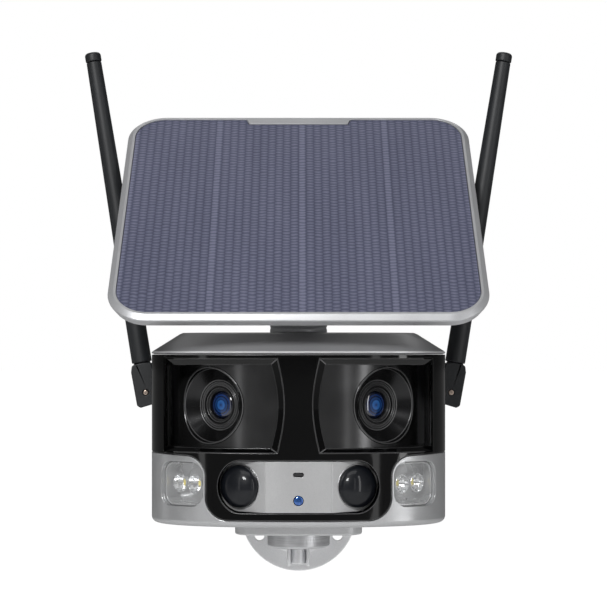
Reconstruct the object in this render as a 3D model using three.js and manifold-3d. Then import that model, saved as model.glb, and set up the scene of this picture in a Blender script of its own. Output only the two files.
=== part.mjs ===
// Solar-powered security camera with two wide-angle eyes, spotlights, antennas and a wall bracket.
// Millimetres, +Z up. The wall plane is y = 0, the camera looks along -Y, and the origin is the
// centre of the bracket's wall face.
import * as THREE from 'three';
import { mergeVertices } from 'three/addons/utils/BufferGeometryUtils.js';
import Module from 'manifold-3d';

const wasm = await Module();
wasm.setup();

// ---------------------------------------------------------------- driving dimensions
const GAP = 0.3;              // clearance kept between neighbouring pieces
const WALL = 2.6;             // wall of the moulded housings

const HEAD = {                // camera head
  halfWidth: 80,              // at the widest point
  wideY: -102,                // where the head is widest
  frontY: -140,               // foremost point of the curved front
  rearY: -42,
  rearHalf: 67,               // half width at the rear corners
  rearRadius: 12,
  bulge: 2.35,                // exponent of the front curve
  midY: -91,                  // centre of the plan outline
  bottomZ: 6,
  seamZ: 96.9,                // top edge of the housing, under the cover's gasket
  rimZ: 98.4,                 // widest edge of the cover
  topZ: 108.7,                // flat top of the cover
  topInset: 16,
};
const WINDOW = { low: 47.9, high: 91.3, inner: 11.4, arch: 3.6, outer: 71, bevel: 2.6 };
const EYE = {                 // one curved turret and its lens
  x: 12, y: -76.5, radius: 60, angle: 36.5, z: 69.8,
  ring: 20.75, ringIn: 13.4, depth: 5.6, barrel: 8.8, glass: 7.4,
};
const NOSE = { half: 49, low: 9.8, shoulder: 43.6, corner: 12, inCorner: 11, backY: -96 };
const PLATE = { flat: 18, frontY: -140.6, z: 27.5, radius: 13.4, turn: 31, thick: 1.6 };
const PIR = { radius: 11.2, along: 14.8, rise: 7.5 };
const LIGHT = { x: 63, z: 28.4, turn: 40, width: 26, height: 23.6, corner: 7, depth: 8.8, pitch: 11 };
const STAND = { y: -90, radius: 15.8, pivotY: -80.7, pivotZ: 156.2, boltRadius: 3 };
const PANEL = {               // solar panel; shift is how far its middle stands up the slope
  width: 200, length: 180, corner: 22, thick: 8, rim: 4.4, tilt: 43.4, drop: 22, shift: 8,
};
const ANTENNA = { x: 88, y: -50, z: 75, lean: 9.1, length: 199, pin: 1.5 };
const SWIVEL = { y: -92, collar: 17.25, low: -9, rod: 4.1 };
const FLANGE = { radius: 35, thick: 4, holes: 27.5, hole: 3 };
const HUB = { y: -21.5, ball: 10, outer: 20, front: -32.6, boss: 23.8, bossDeep: 9.5 };
const FLAP = { half: 24, low: 34, high: 54 };
const BUTTON = { x: -10, z: 44.5, stem: 2.5, cap: 3.8 };
const FORK = { cheekIn: 3.2, cheekOut: 6.2, web: -5.7, floor: -5.6, high: 17.2 };
const SCREW = { x: 26, shank: 1.8, bore: 2.1, head: 3.6 };

// ---------------------------------------------------------------- finishes
const finish = (color, roughness, metalness = 0) => ({ color, roughness, metalness });
const SILVER = finish(0x9fa5a9, 0.42, 0.35);
const GUNMETAL = finish(0x55585c, 0.45, 0.5);
const GLOSS_BLACK = finish(0x0b0b0c, 0.12);
const SATIN_BLACK = finish(0x1a1b1d, 0.5);
const RUBBER = finish(0x222326, 0.85);
const STEEL = finish(0xb8bcc0, 0.28, 0.9);
const COPPER = finish(0xb9825f, 0.35, 0.9);
const CELLS = finish(0x3a3c60, 0.4);
const BLUE_GLASS = finish(0x1b3f86, 0.05);
const CLEAR = finish(0xdfe6ea, 0.08);
const BOARD = finish(0x1f5a3a, 0.6);
const BATTERY = finish(0x2f6fb0, 0.5);

// ---------------------------------------------------------------- shape helpers
const V2 = (x, y) => new THREE.Vector2(x, y);
const radians = THREE.MathUtils.degToRad;

/** A closed three.js geometry as a boolean solid. */
function solid(geometry) {
  const bare = geometry.clone();
  bare.deleteAttribute('normal');
  bare.deleteAttribute('uv');
  const merged = mergeVertices(bare, 1e-4);
  return new wasm.Manifold(new wasm.Mesh({
    numProp: 3,
    vertProperties: new Float32Array(merged.attributes.position.array),
    triVerts: new Uint32Array(merged.index.array),
  }));
}

/** The triangles of a boolean solid as a three.js geometry. */
function surface(body) {
  const result = body.getMesh();
  const geometry = new THREE.BufferGeometry();
  geometry.setAttribute('position', new THREE.BufferAttribute(new Float32Array(result.vertProperties), 3));
  geometry.setIndex(new THREE.BufferAttribute(new Uint32Array(result.triVerts), 1));
  return geometry;
}

const cut = (body, ...tools) => tools.reduce((left, tool) => left.subtract(tool), body);
const join = (body, ...more) => more.reduce((sum, next) => sum.add(next), body);

/** The same solid on the other side of the plane x = 0. */
function mirrored(body) {
  const geometry = surface(body);
  geometry.scale(-1, 1, 1);
  const index = geometry.index.array;
  for (let i = 0; i < index.length; i += 3) {
    [index[i], index[i + 1]] = [index[i + 1], index[i]];
  }
  return solid(geometry);
}

/** A turned and shifted copy: turn is about the given axis, in degrees, before the shift. */
function placed(body, { turn = 0, axis = [0, 0, 1], at = [0, 0, 0] }) {
  const geometry = surface(body);
  const matrix = new THREE.Matrix4().makeRotationAxis(new THREE.Vector3(...axis), radians(turn));
  matrix.setPosition(...at);
  geometry.applyMatrix4(matrix);
  return solid(geometry);
}

/** An outline pushed along z, y or x. Outlines for y are (x, z), outlines for x are (y, z). */
function prism(outline, low, high, along = 'z') {
  const shape = new THREE.Shape(outline);
  const geometry = new THREE.ExtrudeGeometry(shape, { depth: high - low, bevelEnabled: false });
  geometry.translate(0, 0, low);
  if (along === 'y') {
    geometry.rotateX(Math.PI / 2);
    geometry.translate(0, low + high, 0);
  }
  if (along === 'x') {
    geometry.rotateY(Math.PI / 2);
    geometry.rotateX(Math.PI / 2);
  }
  return solid(geometry);
}

const block = (x0, x1, y0, y1, z0, z1) => {
  const geometry = new THREE.BoxGeometry(x1 - x0, y1 - y0, z1 - z0);
  geometry.translate((x0 + x1) / 2, (y0 + y1) / 2, (z0 + z1) / 2);
  return solid(geometry);
};

/** A turned solid about +Z: a list of [radius, z] going up, that closes or runs axis to axis. */
function turned(profile, segments = 32) {
  const geometry = new THREE.LatheGeometry(profile.map(([r, z]) => V2(r, z)), segments);
  return solid(geometry.rotateX(Math.PI / 2));
}

/** A round bar between two points. */
function bar(from, to, radius, segments = 24) {
  const start = new THREE.Vector3(...from);
  const reach = new THREE.Vector3(...to).sub(start);
  const geometry = new THREE.CylinderGeometry(radius, radius, reach.length(), segments);
  geometry.translate(0, reach.length() / 2, 0);
  const turn = new THREE.Quaternion().setFromUnitVectors(new THREE.Vector3(0, 1, 0), reach.normalize());
  geometry.applyQuaternion(turn);
  geometry.translate(start.x, start.y, start.z);
  return solid(geometry);
}

/** A rectangle with round corners, centred on (x, y). */
function roundedRect(width, height, radius, { x = 0, y = 0, steps = 4 } = {}) {
  const points = [];
  const corners = [[1, 1, 0], [-1, 1, 90], [-1, -1, 180], [1, -1, 270]];
  for (const [sideX, sideY, start] of corners) {
    for (let i = 0; i <= steps; i += 1) {
      const angle = radians(start + (90 * i) / steps);
      points.push(V2(
        x + sideX * (width / 2 - radius) + radius * Math.cos(angle),
        y + sideY * (height / 2 - radius) + radius * Math.sin(angle),
      ));
    }
  }
  return points;
}

/** A closed solid through a stack of rings, each a list of equally many [x, y, z]. */
function loft(rings) {
  const count = rings[0].length;
  const positions = rings.flat(2);
  const index = [];
  for (let level = 0; level + 1 < rings.length; level += 1) {
    for (let i = 0; i < count; i += 1) {
      const a = level * count + i;
      const b = level * count + ((i + 1) % count);
      index.push(a, b, b + count, a, b + count, a + count);
    }
  }
  const flat = (ring) => ring.map(([x, y]) => V2(x, y));
  const lid = THREE.ShapeUtils.triangulateShape(flat(rings[0]), []);
  const top = (rings.length - 1) * count;
  lid.forEach(([a, b, c]) => index.push(a, c, b, top + a, top + b, top + c));
  const geometry = new THREE.BufferGeometry();
  geometry.setAttribute('position', new THREE.Float32BufferAttribute(positions, 3));
  geometry.setIndex(index);
  return solid(geometry);
}

// ---------------------------------------------------------------- head outline
/** Plan outline of the head, anticlockwise, pulled in by inset towards the middle. */
function headRing(z, inset = 0, steps = 20) {
  const points = [];
  for (let i = 0; i <= steps; i += 1) {
    const angle = Math.PI + (Math.PI * i) / steps;
    const bend = (value) => Math.sign(value) * Math.abs(value) ** (2 / HEAD.bulge);
    points.push([
      HEAD.halfWidth * bend(Math.cos(angle)),
      HEAD.wideY + (HEAD.wideY - HEAD.frontY) * bend(Math.sin(angle)),
    ]);
  }
  for (const side of [1, -1]) {
    for (let i = 0; i <= 4; i += 1) {
      const angle = radians(side > 0 ? (90 * i) / 4 : 90 + (90 * i) / 4);
      points.push([
        side * (HEAD.rearHalf - HEAD.rearRadius) + HEAD.rearRadius * Math.cos(angle),
        HEAD.rearY - HEAD.rearRadius + HEAD.rearRadius * Math.sin(angle),
      ]);
    }
  }
  const scaleX = 1 - inset / HEAD.halfWidth;
  const scaleY = 1 - inset / (HEAD.rearY - HEAD.midY);
  return points.map(([x, y]) => [x * scaleX, HEAD.midY + (y - HEAD.midY) * scaleY, z]);
}

const headSolid = (levels) => loft(levels.map(([z, inset]) => headRing(z, inset)));

/** How far forward the head's front stands at a given x. */
function frontAt(x) {
  const share = Math.abs(x) / HEAD.halfWidth;
  return HEAD.wideY + (HEAD.frontY - HEAD.wideY) * (1 - share ** HEAD.bulge) ** (1 / HEAD.bulge);
}

// ---------------------------------------------------------------- head housings
const innerHead = () => headSolid([[HEAD.bottomZ + WALL, WALL + 2.4], [HEAD.bottomZ + 5, WALL],
  [HEAD.rimZ + 1, WALL]]);
const outerHead = () => headSolid([[HEAD.bottomZ, 3.4], [HEAD.bottomZ + 0.9, 1.2],
  [HEAD.bottomZ + 3.4, 0], [HEAD.seamZ, 0]]);

/** Front outline of the black bezel, (x, z): wide above, stepping in to the nose. */
function noseOutline(grow = 0) {
  const half = [V2(90, 120), V2(90, NOSE.shoulder + 1.4 - grow)];
  const inner = NOSE.inCorner - grow;
  const outer = NOSE.corner + grow;
  const side = NOSE.half + grow;
  for (let i = 0; i <= 6; i += 1) {
    const angle = radians(90 + 15 * i);
    half.push(V2(side + inner + inner * Math.cos(angle), NOSE.shoulder - grow - inner + inner * Math.sin(angle)));
  }
  for (let i = 0; i <= 6; i += 1) {
    const angle = radians(-15 * i);
    half.push(V2(side - outer + outer * Math.cos(angle), NOSE.low - grow + outer + outer * Math.sin(angle)));
  }
  return [...half, ...half.map((point) => V2(-point.x, point.y)).reverse()];
}

/** Outline of the right eye window, (x, z): its inner side bows towards the middle. */
function windowOutline(grow = 0) {
  const low = WINDOW.low - grow;
  const high = WINDOW.high + grow * 1.3;
  const points = [V2(WINDOW.outer + grow * 0.3, low), V2(WINDOW.outer + grow * 0.3, high)];
  for (let i = 0; i <= 8; i += 1) {
    const share = i / 8;
    const bow = WINDOW.arch * Math.sin(Math.PI * share);
    points.push(V2(WINDOW.inner + WINDOW.arch - bow - grow * 1.5, high + (low - high) * share));
  }
  return points;
}

/** A plate piece drawn flat, (u, z) with u running outwards, turned onto the right nose facet. */
function onFacet(body, mirror) {
  const right = placed(body, { turn: PLATE.turn, at: [PLATE.flat, PLATE.frontY, PLATE.z] });
  return mirror ? mirrored(right) : right;
}

function facetOutline(grow = 0) {
  const points = [V2(-0.6, -PLATE.radius - grow)];
  for (let i = 0; i <= 12; i += 1) {
    const angle = radians(-90 + 15 * i);
    const radius = PLATE.radius + grow;
    points.push(V2(PIR.along + radius * Math.cos(angle), radius * Math.sin(angle)));
  }
  points.push(V2(-0.6, PLATE.radius + grow));
  return points;
}

function facetHole(radius, mirror) {
  return onFacet(bar([PIR.along, -30, 0], [PIR.along, 30, 0], radius, 32), mirror);
}

/** Straight pocket that takes the right facet and its dome. */
function facetPocket() {
  const shrink = Math.cos(radians(PLATE.turn));
  const outline = facetOutline(0.4).map(({ x, y }) => V2(PLATE.flat + x * shrink, PLATE.z + y));
  const inFront = onFacet(block(-40, 60, -60, PLATE.thick + GAP, -30, 30), false);
  return prism(outline, -160, -100, 'y').intersect(inFront);
}

const pair = (body) => [body, mirrored(body)];

function frontBezel() {
  const backing = prism([V2(-44, -150), V2(44, -150), V2(44, -118.6), V2(16, -136), V2(-16, -136),
    V2(-44, -118.6)], 11.5, 44);
  const shell = outerHead()
    .intersect(prism(noseOutline(), -160, NOSE.backY, 'y'))
    .subtract(innerHead().subtract(backing));
  const opening = prism(windowOutline(), -160, -100, 'y');
  const step = prism(windowOutline(WINDOW.bevel), -160, -100, 'y').subtract(
    headSolid([[HEAD.bottomZ, 1.3], [HEAD.topZ, 1.3]]),
  );
  const front = PLATE.frontY + PLATE.thick + GAP;
  const half = PLATE.radius + 0.4;
  const pocket = block(-PLATE.flat - 0.6, PLATE.flat + 0.6, -160, front, PLATE.z - half, PLATE.z + half);
  const mic = block(-2, 2, -160, -130, 33.2, 34.8);
  return cut(shell, ...pair(opening), ...pair(step), pocket, ...pair(facetPocket()),
    facetHole(8.5, false), facetHole(8.5, true), mic);
}

function lightTool(grow, low, high, right) {
  const outline = roundedRect(LIGHT.width + 2 * grow, LIGHT.height + 2 * grow, LIGHT.corner + grow);
  const body = placed(prism(outline, low, high, 'y'), {
    turn: LIGHT.turn, at: [LIGHT.x, frontAt(LIGHT.x), LIGHT.z],
  });
  return right ? body : mirrored(body);
}

function rearShell() {
  const shell = outerHead().subtract(innerHead());
  const lights = [true, false].map((right) => lightTool(0, -30, 12, right));
  const portHole = block(-FLAP.half + 3, FLAP.half - 3, -50, -30, FLAP.low + 4, FLAP.high - 3);
  const grille = [];
  for (let i = -3; i <= 3; i += 1) {
    const slot = prism(roundedRect(1.8, 15 - Math.abs(i) * 2, 0.85, { x: -42 + i * 3.6, y: 66, steps: 2 }),
      -50, -30, 'y');
    grille.push(slot);
  }
  const sockets = pair(bar([62, ANTENNA.y, ANTENNA.z], [69, ANTENNA.y, ANTENNA.z], 6.6));
  const holes = pair(bar([55, ANTENNA.y, ANTENNA.z], [72, ANTENNA.y, ANTENNA.z], 3.4));
  const screws = pair(bar([SCREW.x, SWIVEL.y, 0], [SCREW.x, SWIVEL.y, 12], SCREW.bore));
  const body = join(shell, ...sockets);
  return cut(body, prism(noseOutline(GAP), -160, NOSE.backY + GAP, 'y'), ...lights, portHole,
    ...grille, ...holes, ...screws);
}

function topCover() {
  const low = HEAD.seamZ + 0.6;
  const outer = headSolid([[low, 0.5], [low + 0.5, 0], [HEAD.rimZ, 0],
    [HEAD.topZ - 0.8, HEAD.topInset - 1.2], [HEAD.topZ, HEAD.topInset + 0.6]]);
  const hollow = headSolid([[low - 1, WALL], [HEAD.rimZ, WALL], [HEAD.topZ - WALL, HEAD.topInset + 2]]);
  return cut(outer, hollow, bar([0, STAND.y, 90], [0, STAND.y, 120], 6.3));
}

const coverGasket = () => headSolid([[HEAD.seamZ + 0.15, 1], [HEAD.seamZ + 0.45, 1]])
  .subtract(headSolid([[HEAD.seamZ - 1, WALL - 0.2], [HEAD.seamZ + 1, WALL - 0.2]]));

// ---------------------------------------------------------------- eyes
const EYE_AXIS = { turn: EYE.angle, at: [EYE.x, EYE.y, EYE.z] };
/** A piece drawn about +Z, turned to look out along the right eye's axis. */
const inEye = (body) => placed(placed(body, { turn: 90, axis: [1, 0, 0] }), EYE_AXIS);

function turret(outer, inner, low, high) {
  const points = [];
  for (const [radius, order] of [[outer, 1], [inner, -1]]) {
    for (let i = 0; i <= 14; i += 1) {
      const share = order > 0 ? i / 14 : 1 - i / 14;
      const angle = radians(-11 + 91 * share);
      points.push(V2(EYE.x + radius * Math.sin(angle), EYE.y - radius * Math.cos(angle)));
    }
  }
  return prism(points, low, high);
}

function eyeShroud() {
  const low = WINDOW.low - 1.6;
  const high = WINDOW.high + 1.6;
  const inset = WALL + GAP;
  const core = bar([EYE.x, EYE.y, 0], [EYE.x, EYE.y, 120], EYE.radius - 1.2, 64);
  const keep = block(0.4, 90, -160, -86.6, 0, 120);
  const shelf = (z0, z1) => headSolid([[z0, inset], [z1, inset]]).subtract(core).intersect(keep);
  const side = block(70.2, 72.8, -88.6, -86.6, low, high);
  const body = join(turret(EYE.radius, EYE.radius - 2.4, low, high), shelf(low, low + 1.3),
    shelf(high - 1.3, high), side);
  return cut(body, inEye(bar([0, 0, 30], [0, 0, 80], EYE.ring + GAP, 32)));
}

function eyeCone() {
  const bottom = 50.9;
  const body = turned([[0, 47], [EYE.ring, 47], [EYE.ring, 62], [0, 62]], 32);
  const recess = turned([[0, bottom], [EYE.ringIn, bottom], [EYE.ring - 1.1, bottom + EYE.depth],
    [EYE.ring - 0.7, 63], [0, 63]], 32);
  const bore = turned([[0, 40], [EYE.barrel + GAP, 40], [EYE.barrel + GAP, 60], [0, 60]], 24);
  const skin = bar([EYE.x, EYE.y, 0], [EYE.x, EYE.y, 120], EYE.radius + 0.6, 64);
  return inEye(cut(body, recess, bore)).intersect(skin);
}

const lensBarrel = () => inEye(turned([[0, 36], [EYE.barrel, 36], [EYE.barrel, 50.4],
  [EYE.glass + 0.7, 50.4], [EYE.glass + 0.3, 47.6], [0, 47.6]], 24));

function lensGlass() {
  const profile = [[0, 47.9], [EYE.glass, 47.9]];
  for (let i = 1; i <= 5; i += 1) {
    const angle = radians(18 * i);
    profile.push([i === 5 ? 0 : EYE.glass * Math.cos(angle), 48.3 + 1.7 * Math.sin(angle)]);
  }
  return inEye(turned(profile, 20));
}

const cameraBoard = () => inEye(join(block(-12, 12, -12, 12, 33.4, 35), block(-5, 5, -5, 5, 34.9, 35.7)));

// ---------------------------------------------------------------- nose
function centerPlate() {
  const back = PLATE.frontY + PLATE.thick;
  const flat = block(-PLATE.flat, PLATE.flat, PLATE.frontY, back,
    PLATE.z - PLATE.radius, PLATE.z + PLATE.radius);
  const facet = onFacet(prism(facetOutline(), 0, PLATE.thick, 'y'), false);
  const mic = prism(roundedRect(5.6, 2.3, 1.1, { x: 0, y: 34, steps: 3 }), -160, -130, 'y');
  const light = bar([0, -160, 20.4], [0, -130, 20.4], 2.7, 24);
  return cut(join(flat, ...pair(facet)), mic, light,
    facetHole(PIR.radius + GAP, false), facetHole(PIR.radius + GAP, true));
}

function pirDome() {
  const profile = [[0, -1.2], [PIR.radius, -1.2], [PIR.radius, 1]];
  for (let i = 1; i <= 6; i += 1) {
    const angle = radians(15 * i);
    profile.push([i === 6 ? 0 : PIR.radius * Math.cos(angle), 1 + (PIR.rise - 1) * Math.sin(angle)]);
  }
  const facing = placed(turned(profile, 28), { turn: 90, axis: [1, 0, 0], at: [PIR.along, 0, 0] });
  return onFacet(facing, false);
}

const pirSensor = () => onFacet(bar([PIR.along, 1.6, 0], [PIR.along, 9, 0], 4.6, 20), false);
const microphone = () => prism(roundedRect(5, 1.7, 0.84, { x: 0, y: 34, steps: 3 }),
  PLATE.frontY + 0.5, PLATE.frontY + PLATE.thick, 'y');
const statusLight = () => bar([0, PLATE.frontY - 0.1, 20.4], [0, PLATE.frontY + PLATE.thick, 20.4], 2.4, 24);

// ---------------------------------------------------------------- spotlights
const lightCover = () => lightTool(-GAP, -30, 12, true)
  .intersect(headSolid([[HEAD.bottomZ, 0.5], [HEAD.seamZ, 0.5]]))
  .subtract(headSolid([[HEAD.bottomZ - 1, 2], [HEAD.seamZ + 1, 2]]));

/** A spotlight piece drawn about +Z, z = 0 at the housing's surface and positive outwards. */
const inLight = (body) => placed(placed(body, { turn: 90, axis: [1, 0, 0] }), {
  turn: LIGHT.turn, at: [LIGHT.x, frontAt(LIGHT.x), LIGHT.z],
});

function lightTray() {
  const outline = (grow) => roundedRect(LIGHT.width + 2 * grow, LIGHT.height + 2 * grow, LIGHT.corner + grow);
  const depth = LIGHT.depth + 3;
  return inLight(prism(outline(-1), -depth - 1.6, -6).subtract(prism(outline(-2), -depth, -5)));
}

function ledCup(side) {
  const x = side * LIGHT.pitch / 2;
  const floor = -LIGHT.depth - 3 + GAP;
  const cup = turned([[0, floor], [3, floor], [5.2, floor + 5], [5.2, floor + 5.8],
    [3.4, floor + 5.4], [0, floor + 4.6]], 20);
  return inLight(placed(cup, { at: [x, 0, 0] }));
}

// ---------------------------------------------------------------- inside the head
const mainBoard = () => block(-50, 50, -68, -66.4, 22, 88);
const batteryPack = () => prism(roundedRect(72, 32, 9, { x: 0, y: -92, steps: 3 }), 12, 44);
const speaker = () => join(bar([-42, -46.2, 66], [-42, -52, 66], 13.5, 28),
  bar([-42, -51.9, 66], [-42, -57, 66], 8, 24));


function portPanel() {
  const tray = block(-FLAP.half + 3.4, FLAP.half - 3.4, -49.6, -48, FLAP.low + 3, FLAP.high - 2);
  const card = block(2, 16, -60, -40, FLAP.low + 8, FLAP.low + 10.2);
  const port = prism(roundedRect(9, 3.4, 1.6, { x: 9, y: FLAP.low + 14, steps: 3 }), -60, -40, 'y');
  return cut(tray, card, port, bar([BUTTON.x, -60, BUTTON.z], [BUTTON.x, -40, BUTTON.z], BUTTON.stem + 0.4));
}

const powerButton = () => join(
  bar([BUTTON.x, -46, BUTTON.z], [BUTTON.x, -51.5, BUTTON.z], BUTTON.stem),
  bar([BUTTON.x, -51.4, BUTTON.z], [BUTTON.x, -52.6, BUTTON.z], BUTTON.cap),
);

function serviceFlap() {
  const height = FLAP.high - FLAP.low;
  const outline = [V2(-1, 0), V2(-1, height - 1), V2(0, height), V2(1, height - 1), V2(1, 0)];
  for (let i = 1; i < 6; i += 1) {
    const angle = radians(-30 * i);
    outline.push(V2(Math.cos(angle), Math.sin(angle)));
  }
  return prism(outline, -FLAP.half, FLAP.half, 'x');
}

// ---------------------------------------------------------------- panel stand and panel
function panelNeck() {
  const low = HEAD.topZ + GAP;
  const { radius } = STAND;
  const column = placed(turned([[0, low], [radius, low], [radius, 126], [radius - 5, 134], [0, 134]], 32),
    { at: [0, STAND.y, 0] });
  const boss = [V2(STAND.y - 9, 128), V2(STAND.y + 9, 128)];
  for (let i = 0; i <= 8; i += 1) {
    const angle = radians(-10 + 25 * i);
    boss.push(V2(STAND.pivotY + 7.5 * Math.cos(angle), STAND.pivotZ + 7.5 * Math.sin(angle)));
  }
  const spigot = bar([0, STAND.y, 104], [0, STAND.y, 112], 6, 24);
  const bore = bar([-20, STAND.pivotY, STAND.pivotZ], [20, STAND.pivotY, STAND.pivotZ], STAND.boltRadius + GAP);
  return cut(join(column, prism(boss, -7, 7, 'x'), spigot), bore);
}

const neckBolt = () => join(bar([-12, 0, 0], [15, 0, 0], STAND.boltRadius),
  bar([-15, 0, 0], [-11.9, 0, 0], 5.4, 6));
const neckNut = () => cut(join(bar([11.9, 0, 0], [18, 0, 0], 6, 24),
  block(13.4, 16.6, -11, 11, -2.4, 2.4)), bar([10, 0, 0], [20, 0, 0], STAND.boltRadius + GAP));

const PANEL_TOP = PANEL.drop;
const PANEL_LOW = PANEL.drop - PANEL.thick;
const panelOutline = (inset, steps = 8) => roundedRect(PANEL.width - 2 * inset, PANEL.length - 2 * inset,
  PANEL.corner - inset, { y: PANEL.shift, steps });
const tabOutline = (grow) => {
  const back = PANEL.shift + PANEL.length / 2 + 2;
  const front = back - 11 - grow;
  return [V2(-33 - grow, back), V2(-29 - grow, front), V2(29 + grow, front), V2(33 + grow, back)];
};

function panelFrame() {
  const bevel = [[PANEL_LOW, 2.8], [PANEL_TOP - 3.2, 0.2], [PANEL_TOP - 2, 0], [PANEL_TOP - 0.1, 2.8],
    [PANEL_TOP, 3.2]];
  const body = loft(bevel.map(([z, inset]) => panelOutline(inset).map(({ x, y }) => [x, y, z])));
  const pocket = prism(panelOutline(PANEL.rim), PANEL_TOP - 2.4, PANEL_TOP + 2)
    .subtract(prism(tabOutline(0), PANEL_LOW, PANEL_TOP + 3));
  const tray = prism(panelOutline(12, 4), PANEL_LOW - 1, PANEL_TOP - 4.6);
  return cut(body, pocket, tray);
}

const solarLaminate = () => prism(panelOutline(PANEL.rim + GAP), PANEL_TOP - 2.1, PANEL_TOP - 0.5)
  .subtract(prism(tabOutline(GAP), 0, PANEL_TOP + 3));

const panelBack = () => prism(panelOutline(12.4, 4), PANEL_LOW + 0.4, PANEL_LOW + 2.4);

function panelBracket() {
  const plate = prism(roundedRect(54, 46, 8, { y: 4, steps: 3 }), PANEL_LOW - 2.2, PANEL_LOW + 0.1);
  const cheek = [V2(-13, PANEL_LOW - 2), V2(16, PANEL_LOW - 2)];
  for (let i = 0; i <= 6; i += 1) {
    const angle = radians(-15 - 25 * i);
    cheek.push(V2(7 * Math.cos(angle), 7 * Math.sin(angle)));
  }
  const sides = pair(prism(cheek, 7.4, 11.6, 'x'));
  return cut(join(plate, ...sides), bar([-20, 0, 0], [20, 0, 0], STAND.boltRadius + GAP));
}

// ---------------------------------------------------------------- antennas (origin at the fold pin)

/** Side view of the fork, leaned like the rod, its top rounded about the fold pin. */
function forkOutline() {
  const lean = radians(ANTENNA.lean);
  const points = [[-6.2, -5.6], [-4.6, -7.2], [4.4, -8.4], [6.2, -6.8], [6.6, 12.6]];
  for (let i = 0; i <= 5; i += 1) {
    const angle = radians(71 + 7.6 * i);
    points.push([FORK.high * Math.cos(angle), FORK.high * Math.sin(angle)]);
  }
  points.push([-6.2, 12.6]);
  return points.map(([u, w]) => V2(u * Math.cos(lean) + w * Math.sin(lean),
    w * Math.cos(lean) - u * Math.sin(lean)));
}

function antennaBase() {
  const nut = bar([-18.6, 0, 0], [-12, 0, 0], 5.2, 6);
  const barrel = bar([-12.1, 0, 0], [-6, 0, 0], 4.2, 20);
  const thread = bar([-24, 0, 0], [-18.5, 0, 0], 3, 16);
  const cheek = prism(forkOutline(), -FORK.cheekOut, FORK.cheekOut, 'y');
  const slot = block(FORK.web, 12, -FORK.cheekIn, FORK.cheekIn, FORK.floor, 20);
  return cut(join(nut, barrel, thread, cheek), slot, bar([0, -9, 0], [0, 9, 0], ANTENNA.pin + 0.3, 16));
}

const antennaPin = () => bar([0, -FORK.cheekOut - 0.3, 0], [0, FORK.cheekOut + 0.3, 0], ANTENNA.pin, 16);

function antennaRod() {
  const tongue = prism(roundedRect(10.4, 25, 5.1, { x: 0, y: 7.3, steps: 5 }), -2.9, 2.9, 'y');
  const rod = turned([[0, 17.5], [5.6, 17.5], [5.8, 17.9], [5.7, 50], [5.2, 110], [4.3, ANTENNA.length - 5.5],
    [0, ANTENNA.length - 5.5]], 24);
  return cut(join(tongue, rod), bar([0, -9, 0], [0, 9, 0], ANTENNA.pin + 0.3, 16));
}

const antennaCap = () => turned([[0, ANTENNA.length - 5.2], [4.6, ANTENNA.length - 5.2],
  [4.6, ANTENNA.length - 1.2], [3.4, ANTENNA.length], [0, ANTENNA.length]], 24);

// ---------------------------------------------------------------- bracket under the head

function basePlate() {
  const top = HEAD.bottomZ - GAP;
  const outline = (inset) => roundedRect(68.5 - 2 * inset, 62 - 2 * inset, 10 - inset, { y: -93, steps: 4 });
  const body = loft([[0.3, 0.8], [1.1, 0], [top, 0]].map(([z, inset]) =>
    outline(inset).map(({ x, y }) => [x, y, z])));
  return cut(body, ...pair(bar([SCREW.x, SWIVEL.y, -5], [SCREW.x, SWIVEL.y, 9], SCREW.bore)));
}

const baseScrew = () => join(
  bar([SCREW.x, SWIVEL.y, -1.6], [SCREW.x, SWIVEL.y, 0], SCREW.head, 20),
  bar([SCREW.x, SWIVEL.y, -0.1], [SCREW.x, SWIVEL.y, 9.6], SCREW.shank, 16),
);

const swivelCollar = () => placed(turned([[4.5, SWIVEL.low], [SWIVEL.collar - 1.4, SWIVEL.low],
  [SWIVEL.collar, -7.6], [SWIVEL.collar, 0], [4.5, 0], [4.5, SWIVEL.low]], 40), { at: [0, SWIVEL.y, 0] });

const clampBolt = () => placed(turned([[0, -18.8], [SWIVEL.rod, -18.8], [SWIVEL.rod, -1], [0, -1]], 24),
  { at: [0, SWIVEL.y, 0] });

function swivelArm() {
  const beam = prism([V2(-98.5, -19.5), V2(-98.5, -9.3), V2(-56, -9.3), V2(-52, -13), V2(-52, -19.5)],
    -6.25, 6.25, 'x');
  const neck = bar([0, -58, -14.6], [0, HUB.y - 2, -1], 4.9);
  const ball = solid(new THREE.SphereGeometry(HUB.ball, 20, 12).translate(0, HUB.y, 0));
  const recess = join(bar([0, SWIVEL.y, -30], [0, SWIVEL.y, 0], SWIVEL.rod + GAP, 24),
    block(-4.3, 4.3, -110, SWIVEL.y, -30, 0));
  return cut(join(beam, neck, ball), recess);
}

/** The socket round the ball, cut along y so that it opens for the arm. */
function socketBody(front, back) {
  const { outer, ball } = HUB;
  const ring = placed(turned([[0, -back], [outer, -back], [outer, -front - 1.5], [outer - 1.5, -front],
    [0, -front]], 36), { turn: 90, axis: [1, 0, 0] });
  const cavity = solid(new THREE.SphereGeometry(ball + GAP, 20, 12).translate(0, HUB.y, 0));
  const reach = 60;
  const ray = (angle) => V2(HUB.y - reach * Math.cos(radians(angle)), -reach * Math.sin(radians(angle)));
  const mouth = prism([V2(HUB.y + 4, 4), ray(-2), ray(40), ray(88), V2(HUB.y + 4, -4)], -5.6, 5.6, 'x');
  return [ring, cavity, mouth];
}

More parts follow.
